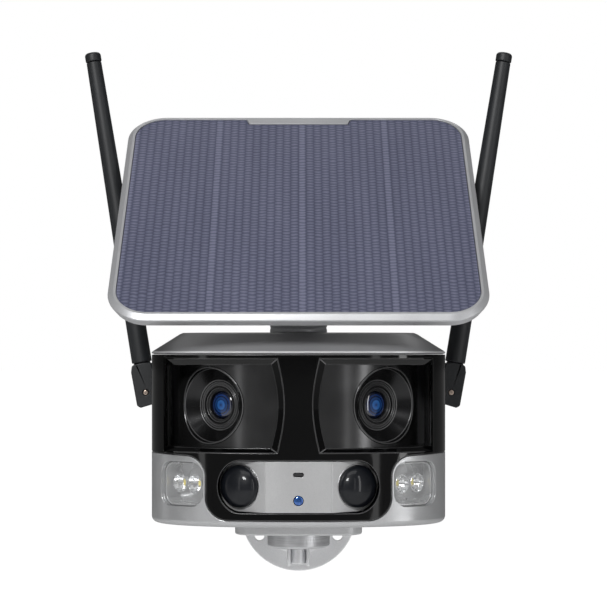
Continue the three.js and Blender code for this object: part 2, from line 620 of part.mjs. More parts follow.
function wallBracket() {
  const [ring, cavity, mouth] = socketBody(HUB.y + 0.2, -3);
  const { radius, thick, holes, hole } = FLANGE;
  const plate = placed(turned([[0, 0], [radius, 0], [radius, thick - 1], [radius - 1, thick], [0, thick]], 44),
    { turn: 90, axis: [1, 0, 0] });
  const boss = placed(turned([[0, thick - 0.5], [HUB.boss, thick - 0.5], [HUB.boss, HUB.bossDeep],
    [HUB.outer, HUB.bossDeep + 3.5], [0, HUB.bossDeep + 3.5]], 44), { turn: 90, axis: [1, 0, 0] });
  const drilled = [90, 210, 330].map((angle) => {
    const x = holes * Math.cos(radians(angle));
    const z = holes * Math.sin(radians(angle));
    return bar([x, -9, z], [x, 3, z], hole, 20);
  });
  return cut(join(plate, boss, ring), cavity, mouth, ...drilled);
}

function socketRing() {
  const [ring, cavity, mouth] = socketBody(HUB.front, HUB.y - 0.2);
  return cut(ring, cavity, mouth);
}

// ---------------------------------------------------------------- assembly
const camera = new THREE.Group();

function add(parent, name, body, look) {
  const geometry = surface(body);
  geometry.computeVertexNormals();
  const mesh = new THREE.Mesh(geometry, new THREE.MeshStandardMaterial(look));
  mesh.name = name;
  parent.add(mesh);
}

function addPair(parent, name, body, look) {
  add(parent, `${name}_right`, body, look);
  add(parent, `${name}_left`, mirrored(body), look);
}

add(camera, 'wall_bracket', wallBracket(), SILVER);
add(camera, 'socket_ring', socketRing(), SILVER);
add(camera, 'swivel_arm', swivelArm(), SILVER);
add(camera, 'clamp_bolt', clampBolt(), STEEL);
add(camera, 'swivel_collar', swivelCollar(), SILVER);
add(camera, 'base_plate', basePlate(), SILVER);
addPair(camera, 'base_screw', baseScrew(), STEEL);

add(camera, 'rear_shell', rearShell(), SILVER);
add(camera, 'front_bezel', frontBezel(), GLOSS_BLACK);
add(camera, 'top_cover', topCover(), GUNMETAL);
add(camera, 'cover_gasket', coverGasket(), RUBBER);

addPair(camera, 'eye_shroud', eyeShroud(), GLOSS_BLACK);
addPair(camera, 'eye_cone', eyeCone(), SATIN_BLACK);
addPair(camera, 'lens_barrel', lensBarrel(), SATIN_BLACK);
addPair(camera, 'lens_glass', lensGlass(), BLUE_GLASS);
addPair(camera, 'camera_board', cameraBoard(), BOARD);

add(camera, 'center_plate', centerPlate(), SILVER);
addPair(camera, 'pir_dome', pirDome(), SATIN_BLACK);
addPair(camera, 'pir_sensor', pirSensor(), STEEL);
add(camera, 'microphone', microphone(), RUBBER);
add(camera, 'status_light', statusLight(), BLUE_GLASS);

addPair(camera, 'light_cover', lightCover(), CLEAR);
addPair(camera, 'light_tray', lightTray(), CLEAR);
addPair(camera, 'led_outer', ledCup(1), CLEAR);
addPair(camera, 'led_inner', ledCup(-1), CLEAR);

add(camera, 'main_board', mainBoard(), BOARD);
add(camera, 'battery_pack', batteryPack(), BATTERY);
add(camera, 'speaker', speaker(), SATIN_BLACK);
add(camera, 'port_panel', portPanel(), SATIN_BLACK);
add(camera, 'power_button', powerButton(), RUBBER);

const flap = new THREE.Group();
flap.position.set(0, HEAD.rearY + 1.3, FLAP.low);
add(flap, 'service_flap', serviceFlap(), RUBBER);
camera.add(flap);

add(camera, 'panel_neck', panelNeck(), GUNMETAL);

const panel = new THREE.Group();
panel.position.set(0, STAND.pivotY, STAND.pivotZ);
panel.rotation.x = radians(PANEL.tilt);
add(panel, 'panel_frame', panelFrame(), SILVER);
add(panel, 'solar_laminate', solarLaminate(), CELLS);
add(panel, 'panel_back', panelBack(), SATIN_BLACK);
add(panel, 'panel_bracket', panelBracket(), GUNMETAL);
add(panel, 'neck_bolt', neckBolt(), STEEL);
add(panel, 'neck_nut', neckNut(), SATIN_BLACK);
camera.add(panel);

for (const side of [1, -1]) {
  const hand = side > 0 ? 'right' : 'left';
  const sided = (body) => (side > 0 ? body : mirrored(body));
  const base = new THREE.Group();
  base.position.set(side * ANTENNA.x, ANTENNA.y, ANTENNA.z);
  add(base, `antenna_base_${hand}`, sided(antennaBase()), SATIN_BLACK);
  add(base, `antenna_pin_${hand}`, antennaPin(), COPPER);
  const rod = new THREE.Group();
  rod.rotation.y = side * radians(ANTENNA.lean);
  add(rod, `antenna_rod_${hand}`, antennaRod(), SATIN_BLACK);
  add(rod, `antenna_cap_${hand}`, antennaCap(), SATIN_BLACK);
  base.add(rod);
  camera.add(base);
}

export default camera;
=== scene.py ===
"""Solar-powered security camera on its wall bracket: looks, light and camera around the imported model.

Lengths in the shape code are millimetres in the part's own frame; MM turns them into Blender metres.
"""
from math import cos, pi, radians, sin
from types import SimpleNamespace as Sizes

import bmesh
import bpy
from mathutils import Matrix, Vector


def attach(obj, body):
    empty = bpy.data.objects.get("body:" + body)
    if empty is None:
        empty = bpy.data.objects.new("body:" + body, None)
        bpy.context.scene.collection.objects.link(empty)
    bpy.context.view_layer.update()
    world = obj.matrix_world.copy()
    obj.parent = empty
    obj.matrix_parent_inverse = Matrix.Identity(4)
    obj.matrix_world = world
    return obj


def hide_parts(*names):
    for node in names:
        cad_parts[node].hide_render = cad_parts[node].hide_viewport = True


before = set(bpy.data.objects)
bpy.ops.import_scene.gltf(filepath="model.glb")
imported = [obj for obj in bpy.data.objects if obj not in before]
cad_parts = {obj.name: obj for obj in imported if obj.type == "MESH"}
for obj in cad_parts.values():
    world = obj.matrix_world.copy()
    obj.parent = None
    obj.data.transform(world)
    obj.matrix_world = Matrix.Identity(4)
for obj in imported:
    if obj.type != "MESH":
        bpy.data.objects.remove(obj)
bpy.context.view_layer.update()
MM = 0.001

# ---- driving dimensions (mm)
GAP = 0.3
WALL = 2.6
HEAD = Sizes(half=80, wide_y=-102, front_y=-140, rear_y=-42, rear_half=67, rear_radius=12, bulge=2.35,
             mid_y=-91, bottom=6, seam=96.9, rim=98.4, top=108.7, top_inset=16)
WINDOW = Sizes(low=47.9, high=91.3, inner=11.4, arch=3.6, outer=71, bevel=2.6)
EYE = Sizes(x=12, y=-76.5, radius=60, angle=36.5, z=69.8, ring=20.75, ring_in=13.4, floor=50.9,
            depth=5.6, barrel=8.8, glass=7.4)
NOSE = Sizes(half=49, low=9.8, shoulder=43.6, corner=12, in_corner=11, back_y=-96)
PLATE = Sizes(flat=18, front_y=-140.6, z=27.5, radius=13.4, turn=31, thick=1.6, mic_z=34, lamp_z=20.4)
PIR = Sizes(radius=11.2, along=14.8, rise=7.5)
LIGHT = Sizes(x=63, z=28.4, turn=40, width=26, height=23.6, corner=7, depth=8.8, pitch=11)
STAND = Sizes(y=-90, radius=15.8, pivot_y=-80.7, pivot_z=156.2, bolt=3)
PANEL = Sizes(width=200, length=180, corner=22, thick=8, rim=4.4, tilt=43.4, drop=22, shift=8)
ANTENNA = Sizes(x=88, y=-50, z=75, lean=9.1, length=199, pin=1.5)
SWIVEL = Sizes(y=-92, collar=17.25, low=-9, rod=4.1)
FLANGE = Sizes(radius=35, thick=4, holes=27.5, hole=3)
HUB = Sizes(y=-21.5, ball=10, outer=20, front=-32.6, boss=23.8, boss_deep=9.5)
FLAP = Sizes(half=24, low=34, high=54)
FORK = Sizes(cheek_in=3.2, cheek_out=6.2, web=-5.7, floor=-5.6, high=17.2)
SCREW = Sizes(x=26, hole=2.1)
AHEAD, THROUGH = -160, -130  # y in front of the whole head, and y behind the nose plate
FINE, ROUND, SMOOTH = 96, 128, 288  # segments round small, large and very large pieces

# ---- shapes
COLLECTION = bpy.context.scene.collection


def new_object(name, mesh):
    """Link a mesh as a new object."""
    obj = bpy.data.objects.new(name, mesh)
    COLLECTION.objects.link(obj)
    return obj


def from_bmesh(bm, name):
    """A bmesh, in mm, as an object in metres with its faces pointing out."""
    bmesh.ops.remove_doubles(bm, verts=bm.verts, dist=1e-5)
    bmesh.ops.recalc_face_normals(bm, faces=bm.faces)
    bmesh.ops.scale(bm, vec=(MM, MM, MM), verts=bm.verts)
    mesh = bpy.data.meshes.new(name)
    bm.to_mesh(mesh)
    bm.free()
    return new_object(name, mesh)


def loft(rings):
    """A closed solid through rings of equally many (x, y, z) points."""
    bm = bmesh.new()
    rows = [[bm.verts.new(point) for point in ring] for ring in rings]
    count = len(rows[0])
    for low, high in zip(rows, rows[1:]):
        for i in range(count):
            j = (i + 1) % count
            bm.faces.new((low[i], low[j], high[j], high[i]))
    bm.faces.new(rows[0][::-1])
    bm.faces.new(rows[-1])
    return from_bmesh(bm, "loft")


def prism(outline, low, high, along="z"):
    """An outline pushed along z, y or x: (x, y), (x, z) or (y, z) points."""
    order = {
        "z": lambda a, b, c: (a, b, c),
        "y": lambda a, b, c: (a, c, b),
        "x": lambda a, b, c: (c, a, b),
    }[along]
    return loft([[order(a, b, level) for a, b in outline] for level in (low, high)])


def block(x0, x1, y0, y1, z0, z1):
    """A box between two corners."""
    return prism([(x0, y0), (x1, y0), (x1, y1), (x0, y1)], z0, z1)


def turned(profile, segments=64):
    """A turned solid about +Z from (radius, z) points that start and end on the axis."""
    bm = bmesh.new()
    rows = []
    for radius, z in profile:
        if radius == 0:
            rows.append([bm.verts.new((0, 0, z))])
            continue
        angles = [2 * pi * i / segments for i in range(segments)]
        rows.append([bm.verts.new((radius * cos(a), radius * sin(a), z)) for a in angles])
    for low, high in zip(rows, rows[1:]):
        for i in range(segments):
            j = (i + 1) % segments
            ring = [low[i % len(low)], low[j % len(low)], high[j % len(high)], high[i % len(high)]]
            corners = list(dict.fromkeys(ring))
            if len(corners) > 2:
                bm.faces.new(corners)
    return from_bmesh(bm, "turned")


def disc(radius, low, high, segments=64):
    """A plain cylinder about +Z."""
    return turned([(0, low), (radius, low), (radius, high), (0, high)], segments)


def place(obj, turn=0, axis="Z", at=(0, 0, 0)):
    """Turn a shape about an axis through the origin, in degrees, then shift it by mm."""
    shift = Matrix.Translation(Vector(at) * MM)
    obj.data.transform(shift @ Matrix.Rotation(radians(turn), 4, axis))
    return obj


def bar(start, end, radius, segments=48):
    """A round bar between two points."""
    begin, reach = Vector(start), Vector(end) - Vector(start)
    obj = disc(radius, 0, reach.length, segments)
    turn = Vector((0, 0, 1)).rotation_difference(reach.normalized()).to_matrix().to_4x4()
    obj.data.transform(Matrix.Translation(begin * MM) @ turn)
    return obj


def mirrored(obj):
    """A copy on the other side of the plane x = 0."""
    mesh = obj.data.copy()
    mesh.transform(Matrix.Scale(-1, 4, (1, 0, 0)))
    mesh.flip_normals()
    return new_object(obj.name + "_mirror", mesh)


def pair(obj):
    """The shape and its mirror image."""
    return [obj, mirrored(obj)]


def combine(operation, body, *tools):
    """Join, cut or intersect a body with tools, which are used up."""
    for tool in tools:
        step = body.modifiers.new("bool", "BOOLEAN")
        step.solver = "MANIFOLD"
        step.operation = operation
        step.object = tool
        bake(body)
        bpy.data.objects.remove(tool)
    return body


def join(body, *tools):
    """Body with the tools added."""
    return combine("UNION", body, *tools)


def cut(body, *tools):
    """Body with the tools taken away."""
    return combine("DIFFERENCE", body, *tools)


def keep(body, *tools):
    """What body and tools share."""
    return combine("INTERSECT", body, *tools)


def bake(obj):
    """Apply an object's modifiers to its mesh."""
    depsgraph = bpy.context.evaluated_depsgraph_get()
    mesh = bpy.data.meshes.new_from_object(obj.evaluated_get(depsgraph))
    obj.modifiers.clear()
    old = obj.data
    obj.data = mesh
    bpy.data.meshes.remove(old)


def arc(x, y, radius, start, sweep, steps):
    """Points of a circular arc, with its angles in degrees."""
    angles = [radians(start + sweep * i / steps) for i in range(steps + 1)]
    return [(x + radius * cos(a), y + radius * sin(a)) for a in angles]


def dome(radius, low, rise, steps, first=1):
    """Profile points of an elliptical cap that closes on the axis."""
    angles = [radians(90 * i / steps) for i in range(first, steps)]
    return [(radius * cos(a), low + rise * sin(a)) for a in angles] + [(0, low + rise)]


def rounded_rect(width, height, radius, x=0, y=0, steps=10):
    """A rectangle with round corners, anticlockwise."""
    points = []
    for side_x, side_y, start in ((1, 1, 0), (-1, 1, 90), (-1, -1, 180), (1, -1, 270)):
        points += arc(x + side_x * (width / 2 - radius), y + side_y * (height / 2 - radius),
                      radius, start, 90, steps)
    return points


def soften(obj, width, angle):
    """Round the hard edges, giving the rounds the second material if there is one (a lighter paint: a painted
    edge highlight), and shade the rest smoothly.
    """
    weld = 0.06 * MM
    dissolve = obj.modifiers.new("flat", "DECIMATE")
    dissolve.decimate_type = "DISSOLVE"
    dissolve.angle_limit = radians(0.2)
    bake(obj)
    bm = bmesh.new()
    bm.from_mesh(obj.data)
    bmesh.ops.remove_doubles(bm, verts=bm.verts, dist=weld)
    bmesh.ops.dissolve_degenerate(bm, edges=bm.edges, dist=weld)
    bm.to_mesh(obj.data)
    bm.free()
    bevel = obj.modifiers.new("bevel", "BEVEL")
    bevel.width = width * MM
    bevel.segments = 3
    bevel.limit_method = "ANGLE"
    bevel.angle_limit = radians(angle)
    bevel.harden_normals = False
    bevel.use_clamp_overlap = False
    bevel.material = len(obj.data.materials) - 1
    bake(obj)
    obj.data.shade_smooth()
    obj.data.set_sharp_from_angle(angle=radians(angle))
    weighted = obj.modifiers.new("normals", "WEIGHTED_NORMAL")
    weighted.keep_sharp = True
    weighted.weight = 80
    bake(obj)


# ---- head outline
def bend(value):
    """One coordinate of the head's superellipse front."""
    return (1 if value >= 0 else -1) * abs(value) ** (2 / HEAD.bulge)


def head_ring(z, inset):
    """Plan outline of the head, anticlockwise, pulled in by inset."""
    points = []
    steps, radius = 84, HEAD.rear_radius
    for i in range(steps + 1):
        angle = pi + pi * i / steps
        points.append((HEAD.half * bend(cos(angle)),
                       HEAD.wide_y + (HEAD.wide_y - HEAD.front_y) * bend(sin(angle))))
    for side, start in ((1, 0), (-1, 90)):
        points += arc(side * (HEAD.rear_half - radius), HEAD.rear_y - radius, radius, start, 90, 10)
    scale_x = 1 - inset / HEAD.half
    scale_y = 1 - inset / (HEAD.rear_y - HEAD.mid_y)
    return [(x * scale_x, HEAD.mid_y + (y - HEAD.mid_y) * scale_y, z) for x, y in points]


def head_solid(levels):
    """A solid that follows the head's outline, from (z, inset) levels."""
    return loft([head_ring(z, inset) for z, inset in levels])


def front_at(x):
    """The y of the head's front at a given x."""
    share = abs(x) / HEAD.half
    reach = (1 - share ** HEAD.bulge) ** (1 / HEAD.bulge)
    return HEAD.wide_y + (HEAD.front_y - HEAD.wide_y) * reach


def outer_head():
    """The head's outside below the seam, with a round bottom edge."""
    edge = 3.4
    angles = [radians(90 * i / 8) for i in range(9)]
    levels = [(HEAD.bottom + edge * (1 - cos(a)), edge * (1 - sin(a))) for a in angles]
    return head_solid(levels + [(HEAD.seam, 0)])


def inner_head():
    """The hollow inside the head's walls."""
    low = HEAD.bottom
    return head_solid([(low + WALL, WALL + 2.4), (low + 5, WALL), (HEAD.rim + 1, WALL)])


def nose_outline(grow=0.0):
    """Front outline of the black bezel, (x, z): wide above, stepping in to the nose."""
    inner, outer = NOSE.in_corner - grow, NOSE.corner + grow
    side = NOSE.half + grow
    half = [(90, 120), (90, NOSE.shoulder + 1.4 - grow)]
    half += arc(side + inner, NOSE.shoulder - grow - inner, inner, 90, 90, 14)
    half += arc(side - outer, NOSE.low - grow + outer, outer, 0, -90, 14)
    return half + [(-x, z) for x, z in reversed(half)]


def window_outline(grow=0.0):
    """Outline of the right eye window, (x, z): its inner side bows towards the middle."""
    steps, arch = 24, WINDOW.arch
    low, high = WINDOW.low - grow, WINDOW.high + grow * 1.3
    right, left = WINDOW.outer + grow * 0.3, WINDOW.inner + arch - grow * 1.5
    points = [(right, low + (high - low) * i / 4) for i in range(4)]
    points += [(right + (left - right) * i / steps, high) for i in range(steps)]
    points += [(left - arch * sin(pi * i / steps), high + (low - high) * i / steps) for i in range(steps)]
    return points + [(left + (right - left) * i / steps, low) for i in range(steps)]


def window_tool():
    """Cutter for the right window, whose slanted sides follow the curved front."""
    outer, inner = window_outline(WINDOW.bevel), window_outline()
    return loft([
        [(x, -100, z) for x, z in inner],
        [(x, front_at(x) + 3.0, z) for x, z in inner],
        [(x, front_at(x) + 0.2, z) for x, z in outer],
        [(x, AHEAD, z) for x, z in outer],
    ])


def facet_outline(grow=0.0):
    """One side facet of the nose plate, (u, z), with a round outer end."""
    radius = PLATE.radius + grow
    return [(-0.6, -radius)] + arc(PIR.along, 0, radius, -90, 180, 30) + [(-0.6, radius)]


def on_facet(obj):
    """A piece drawn flat, turned onto the right nose facet."""
    return place(obj, PLATE.turn, "Z", (PLATE.flat, PLATE.front_y, PLATE.z))


def facet_hole(radius):
    """A round cutter through the middle of the right nose facet."""
    return on_facet(bar((PIR.along, -30, 0), (PIR.along, 30, 0), radius, 72))


def facet_pocket():
    """Straight pocket that takes the right facet and its dome."""
    shrink = cos(radians(PLATE.turn))
    outline = [(PLATE.flat + u * shrink, PLATE.z + z) for u, z in facet_outline(0.4)]
    return keep(prism(outline, AHEAD, -100, "y"),
                on_facet(block(-40, 60, -60, PLATE.thick + GAP, -30, 30)))


def on_cheek(obj):
    """A piece drawn upright at the origin, turned onto the right spotlight cheek."""
    return place(obj, LIGHT.turn, "Z", (LIGHT.x, front_at(LIGHT.x), LIGHT.z))


def light_tool(grow, low, high):
    """The spotlight opening on the right cheek as a solid."""
    outline = rounded_rect(LIGHT.width + 2 * grow, LIGHT.height + 2 * grow, LIGHT.corner + grow)
    return on_cheek(prism(outline, low, high, "y"))


def screw_holes(low, high):
    """Cutters for the two screws that hold the base plate."""
    x, y = SCREW.x, SWIVEL.y
    return pair(bar((x, y, low), (x, y, high), SCREW.hole))


# ---- head housings
def front_bezel():
    """Gloss black front with its two eye windows and the nose."""
    backing = prism([(-44, -150), (44, -150), (44, -118.6), (16, -136), (-16, -136), (-44, -118.6)], 11.5, 44)
    shell = keep(outer_head(), prism(nose_outline(), AHEAD, NOSE.back_y, "y"))
    shell = cut(shell, cut(inner_head(), backing))
    half = PLATE.radius + 0.4
    flat = PLATE.flat + 0.6
    pocket = block(-flat, flat, AHEAD, PLATE.front_y + PLATE.thick + GAP, PLATE.z - half, PLATE.z + half)
    return cut(shell, *pair(window_tool()), pocket, *pair(facet_pocket()), *pair(facet_hole(8.5)),
               block(-2, 2, AHEAD, THROUGH, PLATE.mic_z - 0.8, PLATE.mic_z + 0.8))


def rear_shell():
    """Silver tub with the spotlight cheeks, rear grille, port opening and antenna sockets."""
    shell = cut(outer_head(), inner_head())
    grille = []
    for i in range(-3, 4):
        slot = rounded_rect(1.8, 15 - abs(i) * 2, 0.85, -42 + i * 3.6, 66, 5)
        grille.append(prism(slot, -50, -30, "y"))
    ports = block(3 - FLAP.half, FLAP.half - 3, -50, -30, FLAP.low + 4, FLAP.high - 3)
    y, z = ANTENNA.y, ANTENNA.z
    shell = join(shell, *pair(bar((62, y, z), (69, y, z), 6.6)))
    return cut(shell, prism(nose_outline(GAP), AHEAD, NOSE.back_y + GAP, "y"),
               *pair(light_tool(0, -30, 12)), ports, *grille,
               *pair(bar((55, y, z), (72, y, z), 3.4)), *screw_holes(0, 12))


def top_cover():
    """Gunmetal cover: an upright lip, a sloped band and a flat top."""
    low = HEAD.seam + 0.6
    top, inset = HEAD.top, HEAD.top_inset
    outer = head_solid([(low, 0.25), (low + 0.25, 0), (HEAD.rim, 0), (top - 0.8, inset - 1.2),
                        (top, inset + 0.6)])
    hollow = head_solid([(low - 1, WALL), (HEAD.rim, WALL), (top - WALL, inset + 2)])
    return cut(outer, hollow, bar((0, STAND.y, 90), (0, STAND.y, 120), 6.3))


def cover_gasket():
    """Thin dark seal between the tub and its cover."""
    seam = HEAD.seam
    return cut(head_solid([(seam + 0.15, 1), (seam + 0.45, 1)]),
               head_solid([(seam - 1, WALL - 0.2), (seam + 1, WALL - 0.2)]))


# ---- eyes
def in_eye(obj):
    """A piece drawn about +Z, turned to look out along the right eye's axis."""
    return place(place(obj, 90, "X"), EYE.angle, "Z", (EYE.x, EYE.y, EYE.z))


def eye_column(radius):
    """An upright column about the centre of the right eye's curve."""
    return bar((EYE.x, EYE.y, 0), (EYE.x, EYE.y, 120), radius, SMOOTH)


def eye_shroud():
    """Curved turret wall with its floor and ceiling and the round hole for the cone."""
    low, high = WINDOW.low - 1.6, WINDOW.high + 1.6
    inset, shelf_thick, back_y = WALL + GAP, 1.3, -86.6
    angles = [radians(-11 + 91 * i / 72) for i in range(73)]
    points = []
    for radius, order in ((EYE.radius, angles), (EYE.radius - 2.4, angles[::-1])):
        points += [(EYE.x + radius * sin(a), EYE.y - radius * cos(a)) for a in order]
    body = prism(points, low, high)
    for z0, z1 in ((low, low + shelf_thick), (high - shelf_thick, high)):
        shelf = cut(head_solid([(z0, inset), (z1, inset)]), eye_column(EYE.radius - 1.2))
        body = join(body, keep(shelf, block(0.4, 90, AHEAD, back_y, 0, 120)))
    body = join(body, block(70.2, 72.8, back_y - 2, back_y, low, high))
    return cut(body, in_eye(bar((0, 0, 30), (0, 0, 80), EYE.ring + 0.1, ROUND)))


def eye_cone():
    """Conical bezel round the lens, trimmed to the turret's curve."""
    floor, ring, ring_in = EYE.floor, EYE.ring, EYE.ring_in
    recess = turned([(0, floor), (ring_in, floor), (ring_in, floor + 0.01), (ring - 1.1, floor + EYE.depth),
                     (ring - 0.7, 63), (0, 63)], ROUND)
    grooves = [cut(disc(radius, floor - 0.5, floor + 1, FINE),
                   disc(radius - 0.35, floor - 1, floor + 2, FINE)) for radius in (12.2, 11.0)]
    body = cut(disc(ring, 47, 62, ROUND), recess, disc(EYE.barrel + 0.1, 40, 60, FINE), *grooves)
    return keep(in_eye(body), eye_column(EYE.radius + 0.6))


def lens_barrel():
    """Stepped black lens mount round the glass."""
    glass = EYE.glass
    profile = [(0, 36), (EYE.barrel, 36), (EYE.barrel, 50.4), (glass + 0.75, 50.4), (glass + 0.7, 49.9),
               (glass + 0.35, 49.9), (glass + 0.3, 47.6), (0, 47.6)]
    return in_eye(turned(profile, FINE))


def lens_glass():
    """Domed front element."""
    profile = [(0, 47.9), (EYE.glass, 47.9)] + dome(EYE.glass, 48.3, 1.7, 16)
    return in_eye(turned(profile, FINE))


# ---- nose
def center_plate():
    """Silver plate: flat middle with a turned facet round each motion sensor."""
    back = PLATE.front_y + PLATE.thick
    flat, radius, z = PLATE.flat, PLATE.radius, PLATE.z
    body = block(-flat, flat, PLATE.front_y, back, z - radius, z + radius)
    body = join(body, *pair(on_facet(prism(facet_outline(), 0, PLATE.thick, "y"))))
    return cut(body, prism(rounded_rect(5.6, 2.3, 1.1, 0, PLATE.mic_z), AHEAD, THROUGH, "y"),
               bar((0, AHEAD, PLATE.lamp_z), (0, THROUGH, PLATE.lamp_z), 2.7),
               *pair(facet_hole(PIR.radius + GAP)))


def pir_dome():
    """Smoked dome of a motion sensor."""
    radius = PIR.radius
    profile = [(0, -1.2), (radius, -1.2), (radius, 1)] + dome(radius, 1, PIR.rise - 1, 24)
    return on_facet(place(turned(profile, FINE), 90, "X", (PIR.along, 0, 0)))


def pir_rim():
    """Bright turned rim that seats the dome in the nose plate."""
    inner, outer = PIR.radius + 0.05, PIR.radius + 0.85
    body = turned([(0, -1.1), (outer, -1.1), (outer, -0.1), (outer - 0.25, 0.25), (inner + 0.15, 0.25),
                   (0, 0.25)], FINE)
    body = cut(body, disc(inner, -3, 3, FINE))
    return on_facet(place(body, 90, "X", (PIR.along, 0, 0)))


def microphone():
    """Rubber grommet in the microphone slot."""
    outline = rounded_rect(5, 1.7, 0.84, 0, PLATE.mic_z)
    return prism(outline, PLATE.front_y + 0.5, PLATE.front_y + PLATE.thick, "y")


def status_light():
    """Domed blue status lens."""
    radius, back = 2.4, -PLATE.thick
    profile = [(0, back), (radius, back)] + dome(radius, -0.5, 0.6, 12, first=0)
    return place(turned(profile, 48), 90, "X", (0, PLATE.front_y, PLATE.lamp_z))


# ---- spotlights
def in_light(obj):
    """A spotlight piece drawn about +Z with z = 0 at the housing's surface."""
    return on_cheek(place(obj, 90, "X"))


def light_cover():
    """Clear curved window over the spotlights."""
    low, seam = HEAD.bottom, HEAD.seam
    body = keep(light_tool(-GAP, -30, 12), head_solid([(low, 0.5), (seam, 0.5)]))
    return cut(body, head_solid([(low - 1, 2), (seam + 1, 2)]))


def light_tray():
    """Silvered tray that reaches up to the back of the clear window."""
    depth = LIGHT.depth + 3

    def outline(inset):
        return rounded_rect(LIGHT.width - 2 * inset, LIGHT.height - 2 * inset, LIGHT.corner - inset)

    tray = in_light(prism(outline(0.3), -depth - 1.6, 4))
    tray = keep(tray, head_solid([(HEAD.bottom, 2.4), (HEAD.seam, 2.4)]))
    return cut(tray, in_light(prism(outline(1.3), -depth, 6)))


def led_cup(side):
    """Faceted bright cup round one spotlight diode."""
    floor, facets = GAP - LIGHT.depth - 3, 24
    cup = turned([(0, floor), (2.4, floor), (4.4, floor + 2.6), (5.2, floor + 5.8), (0, floor + 5.8)], facets)
    bowl = turned([(0, floor + 0.9), (1.9, floor + 0.9), (3.9, floor + 3.2), (4.7, floor + 6),
                   (0, floor + 6)], facets)
    return in_light(place(cut(cup, bowl), at=(side * LIGHT.pitch / 2, 0, 0)))


def led_die(side):
    """Yellow phosphor square in the bottom of a cup."""
    floor = 1.2 - LIGHT.depth - 3
    x = side * LIGHT.pitch / 2
    return in_light(block(x - 1.35, x + 1.35, -1.35, 1.35, floor, floor + 0.5))


# ---- rear flap
def service_flap():
    """Rubber flap with a knuckle along its lower edge and a pull lip along the top."""
    height = FLAP.high - FLAP.low
    outline = [(-1, 0), (-1, height - 1), (0, height), (1, height - 1), (1, 0)]
    outline += arc(0, 0, 1, -15, -150, 10)
    flap = prism(outline, -FLAP.half, FLAP.half, "x")
    return place(flap, at=(0, HEAD.rear_y + 1.3, FLAP.low))


# ---- panel stand and panel
def panel_neck():
    """Turned column with a groove near its foot and a leaning hinge boss."""
    low, radius = HEAD.top + GAP, STAND.radius
    column = turned([(0, low), (radius, low), (radius, low + 2), (radius - 0.4, low + 2.3),
                     (radius - 0.4, low + 2.9), (radius, low + 3.2), (radius, 126), (radius - 1.2, 129.5),
                     (radius - 5, 134), (0, 134)], ROUND)
    place(column, at=(0, STAND.y, 0))
    y, z = STAND.pivot_y, STAND.pivot_z
    boss = [(STAND.y - 9, 128), (STAND.y + 9, 128)] + arc(y, z, 7.5, -10, 200, 20)
    body = join(column, prism(boss, -7, 7, "x"), bar((0, STAND.y, 104), (0, STAND.y, 112), 6))
    return cut(body, bar((-20, y, z), (20, y, z), STAND.bolt + GAP))


def in_panel(obj):
    """A piece drawn flat about the hinge, turned to the panel's slope."""
    return place(obj, PANEL.tilt, "X", (0, STAND.pivot_y, STAND.pivot_z))


PANEL_TOP = PANEL.drop
PANEL_LOW = PANEL.drop - PANEL.thick


def panel_outline(inset):
    """The panel's rounded outline in its own plane."""
    return rounded_rect(PANEL.width - 2 * inset, PANEL.length - 2 * inset, PANEL.corner - inset,
                        0, PANEL.shift, 20)


def tab_outline(grow):
    """The tapered tab in the middle of the panel's back edge."""
    back = PANEL.shift + PANEL.length / 2 + 2
    front = back - 11 - grow
    return [(-33 - grow, back), (-29 - grow, front), (29 + grow, front), (33 + grow, back)]


def panel_frame():
    """Grey tray whose rim is rounded above and drawn in below."""
    levels = [(PANEL_LOW, 2.8), (PANEL_LOW + 0.3, 2.5), (PANEL_TOP - 3.5, 0.35), (PANEL_TOP - 2.9, 0.1),
              (PANEL_TOP - 2.3, 0), (PANEL_TOP - 1.85, 0.25), (PANEL_TOP - 0.35, 2.55),
              (PANEL_TOP - 0.12, 2.85), (PANEL_TOP, 3.2)]
    body = loft([[(x, y, z) for x, y in panel_outline(inset)] for z, inset in levels])
    pocket = cut(prism(panel_outline(PANEL.rim), PANEL_TOP - 2.4, PANEL_TOP + 2),
                 prism(tab_outline(0), PANEL_LOW, PANEL_TOP + 3))
    return in_panel(cut(body, pocket, prism(panel_outline(12), PANEL_LOW - 1, PANEL_TOP - 4.6)))


def panel_bracket():
    """Hinge bracket under the panel: a plate with two cheeks."""
    plate = prism(rounded_rect(54, 46, 8, 0, 4), PANEL_LOW - 2.2, PANEL_LOW + 0.1)
    cheek = [(-13, PANEL_LOW - 2), (16, PANEL_LOW - 2)] + arc(0, 0, 7, -15, -150, 18)
    body = join(plate, *pair(prism(cheek, 7.4, 11.6, "x")))
    return in_panel(cut(body, bar((-20, 0, 0), (20, 0, 0), STAND.bolt + GAP)))


def neck_bolt():
    """Hex-headed hinge bolt."""
    head = bar((-15, 0, 0), (-11.9, 0, 0), 5.4, 6)
    return in_panel(join(bar((-12, 0, 0), (15, 0, 0), STAND.bolt), head))


def neck_nut():
    """Wing nut that clamps the panel's tilt."""
    body = join(bar((11.9, 0, 0), (18, 0, 0), 6), block(13.4, 16.6, -11, 11, -2.4, 2.4))
    return in_panel(cut(body, bar((10, 0, 0), (20, 0, 0), STAND.bolt + GAP)))


def solar_laminate():
    """Dark cells under a textured sheet, cut out round the back tab."""
    body = cut(prism(panel_outline(PANEL.rim + GAP), PANEL_TOP - 2.1, PANEL_TOP - 0.5),
               prism(tab_outline(GAP), 0, PANEL_TOP + 3))
    return in_panel(body)


# ---- antennas, about the fold pin

def at_antenna(obj, lean=0):
    """A piece drawn about the right fold pin, leaned outwards and put in place."""
    return place(obj, lean, "Y", (ANTENNA.x, ANTENNA.y, ANTENNA.z))


def pin_hole():
    """Cutter for the fold pin."""
    return bar((0, -9, 0), (0, 9, 0), ANTENNA.pin + 0.1, 32)


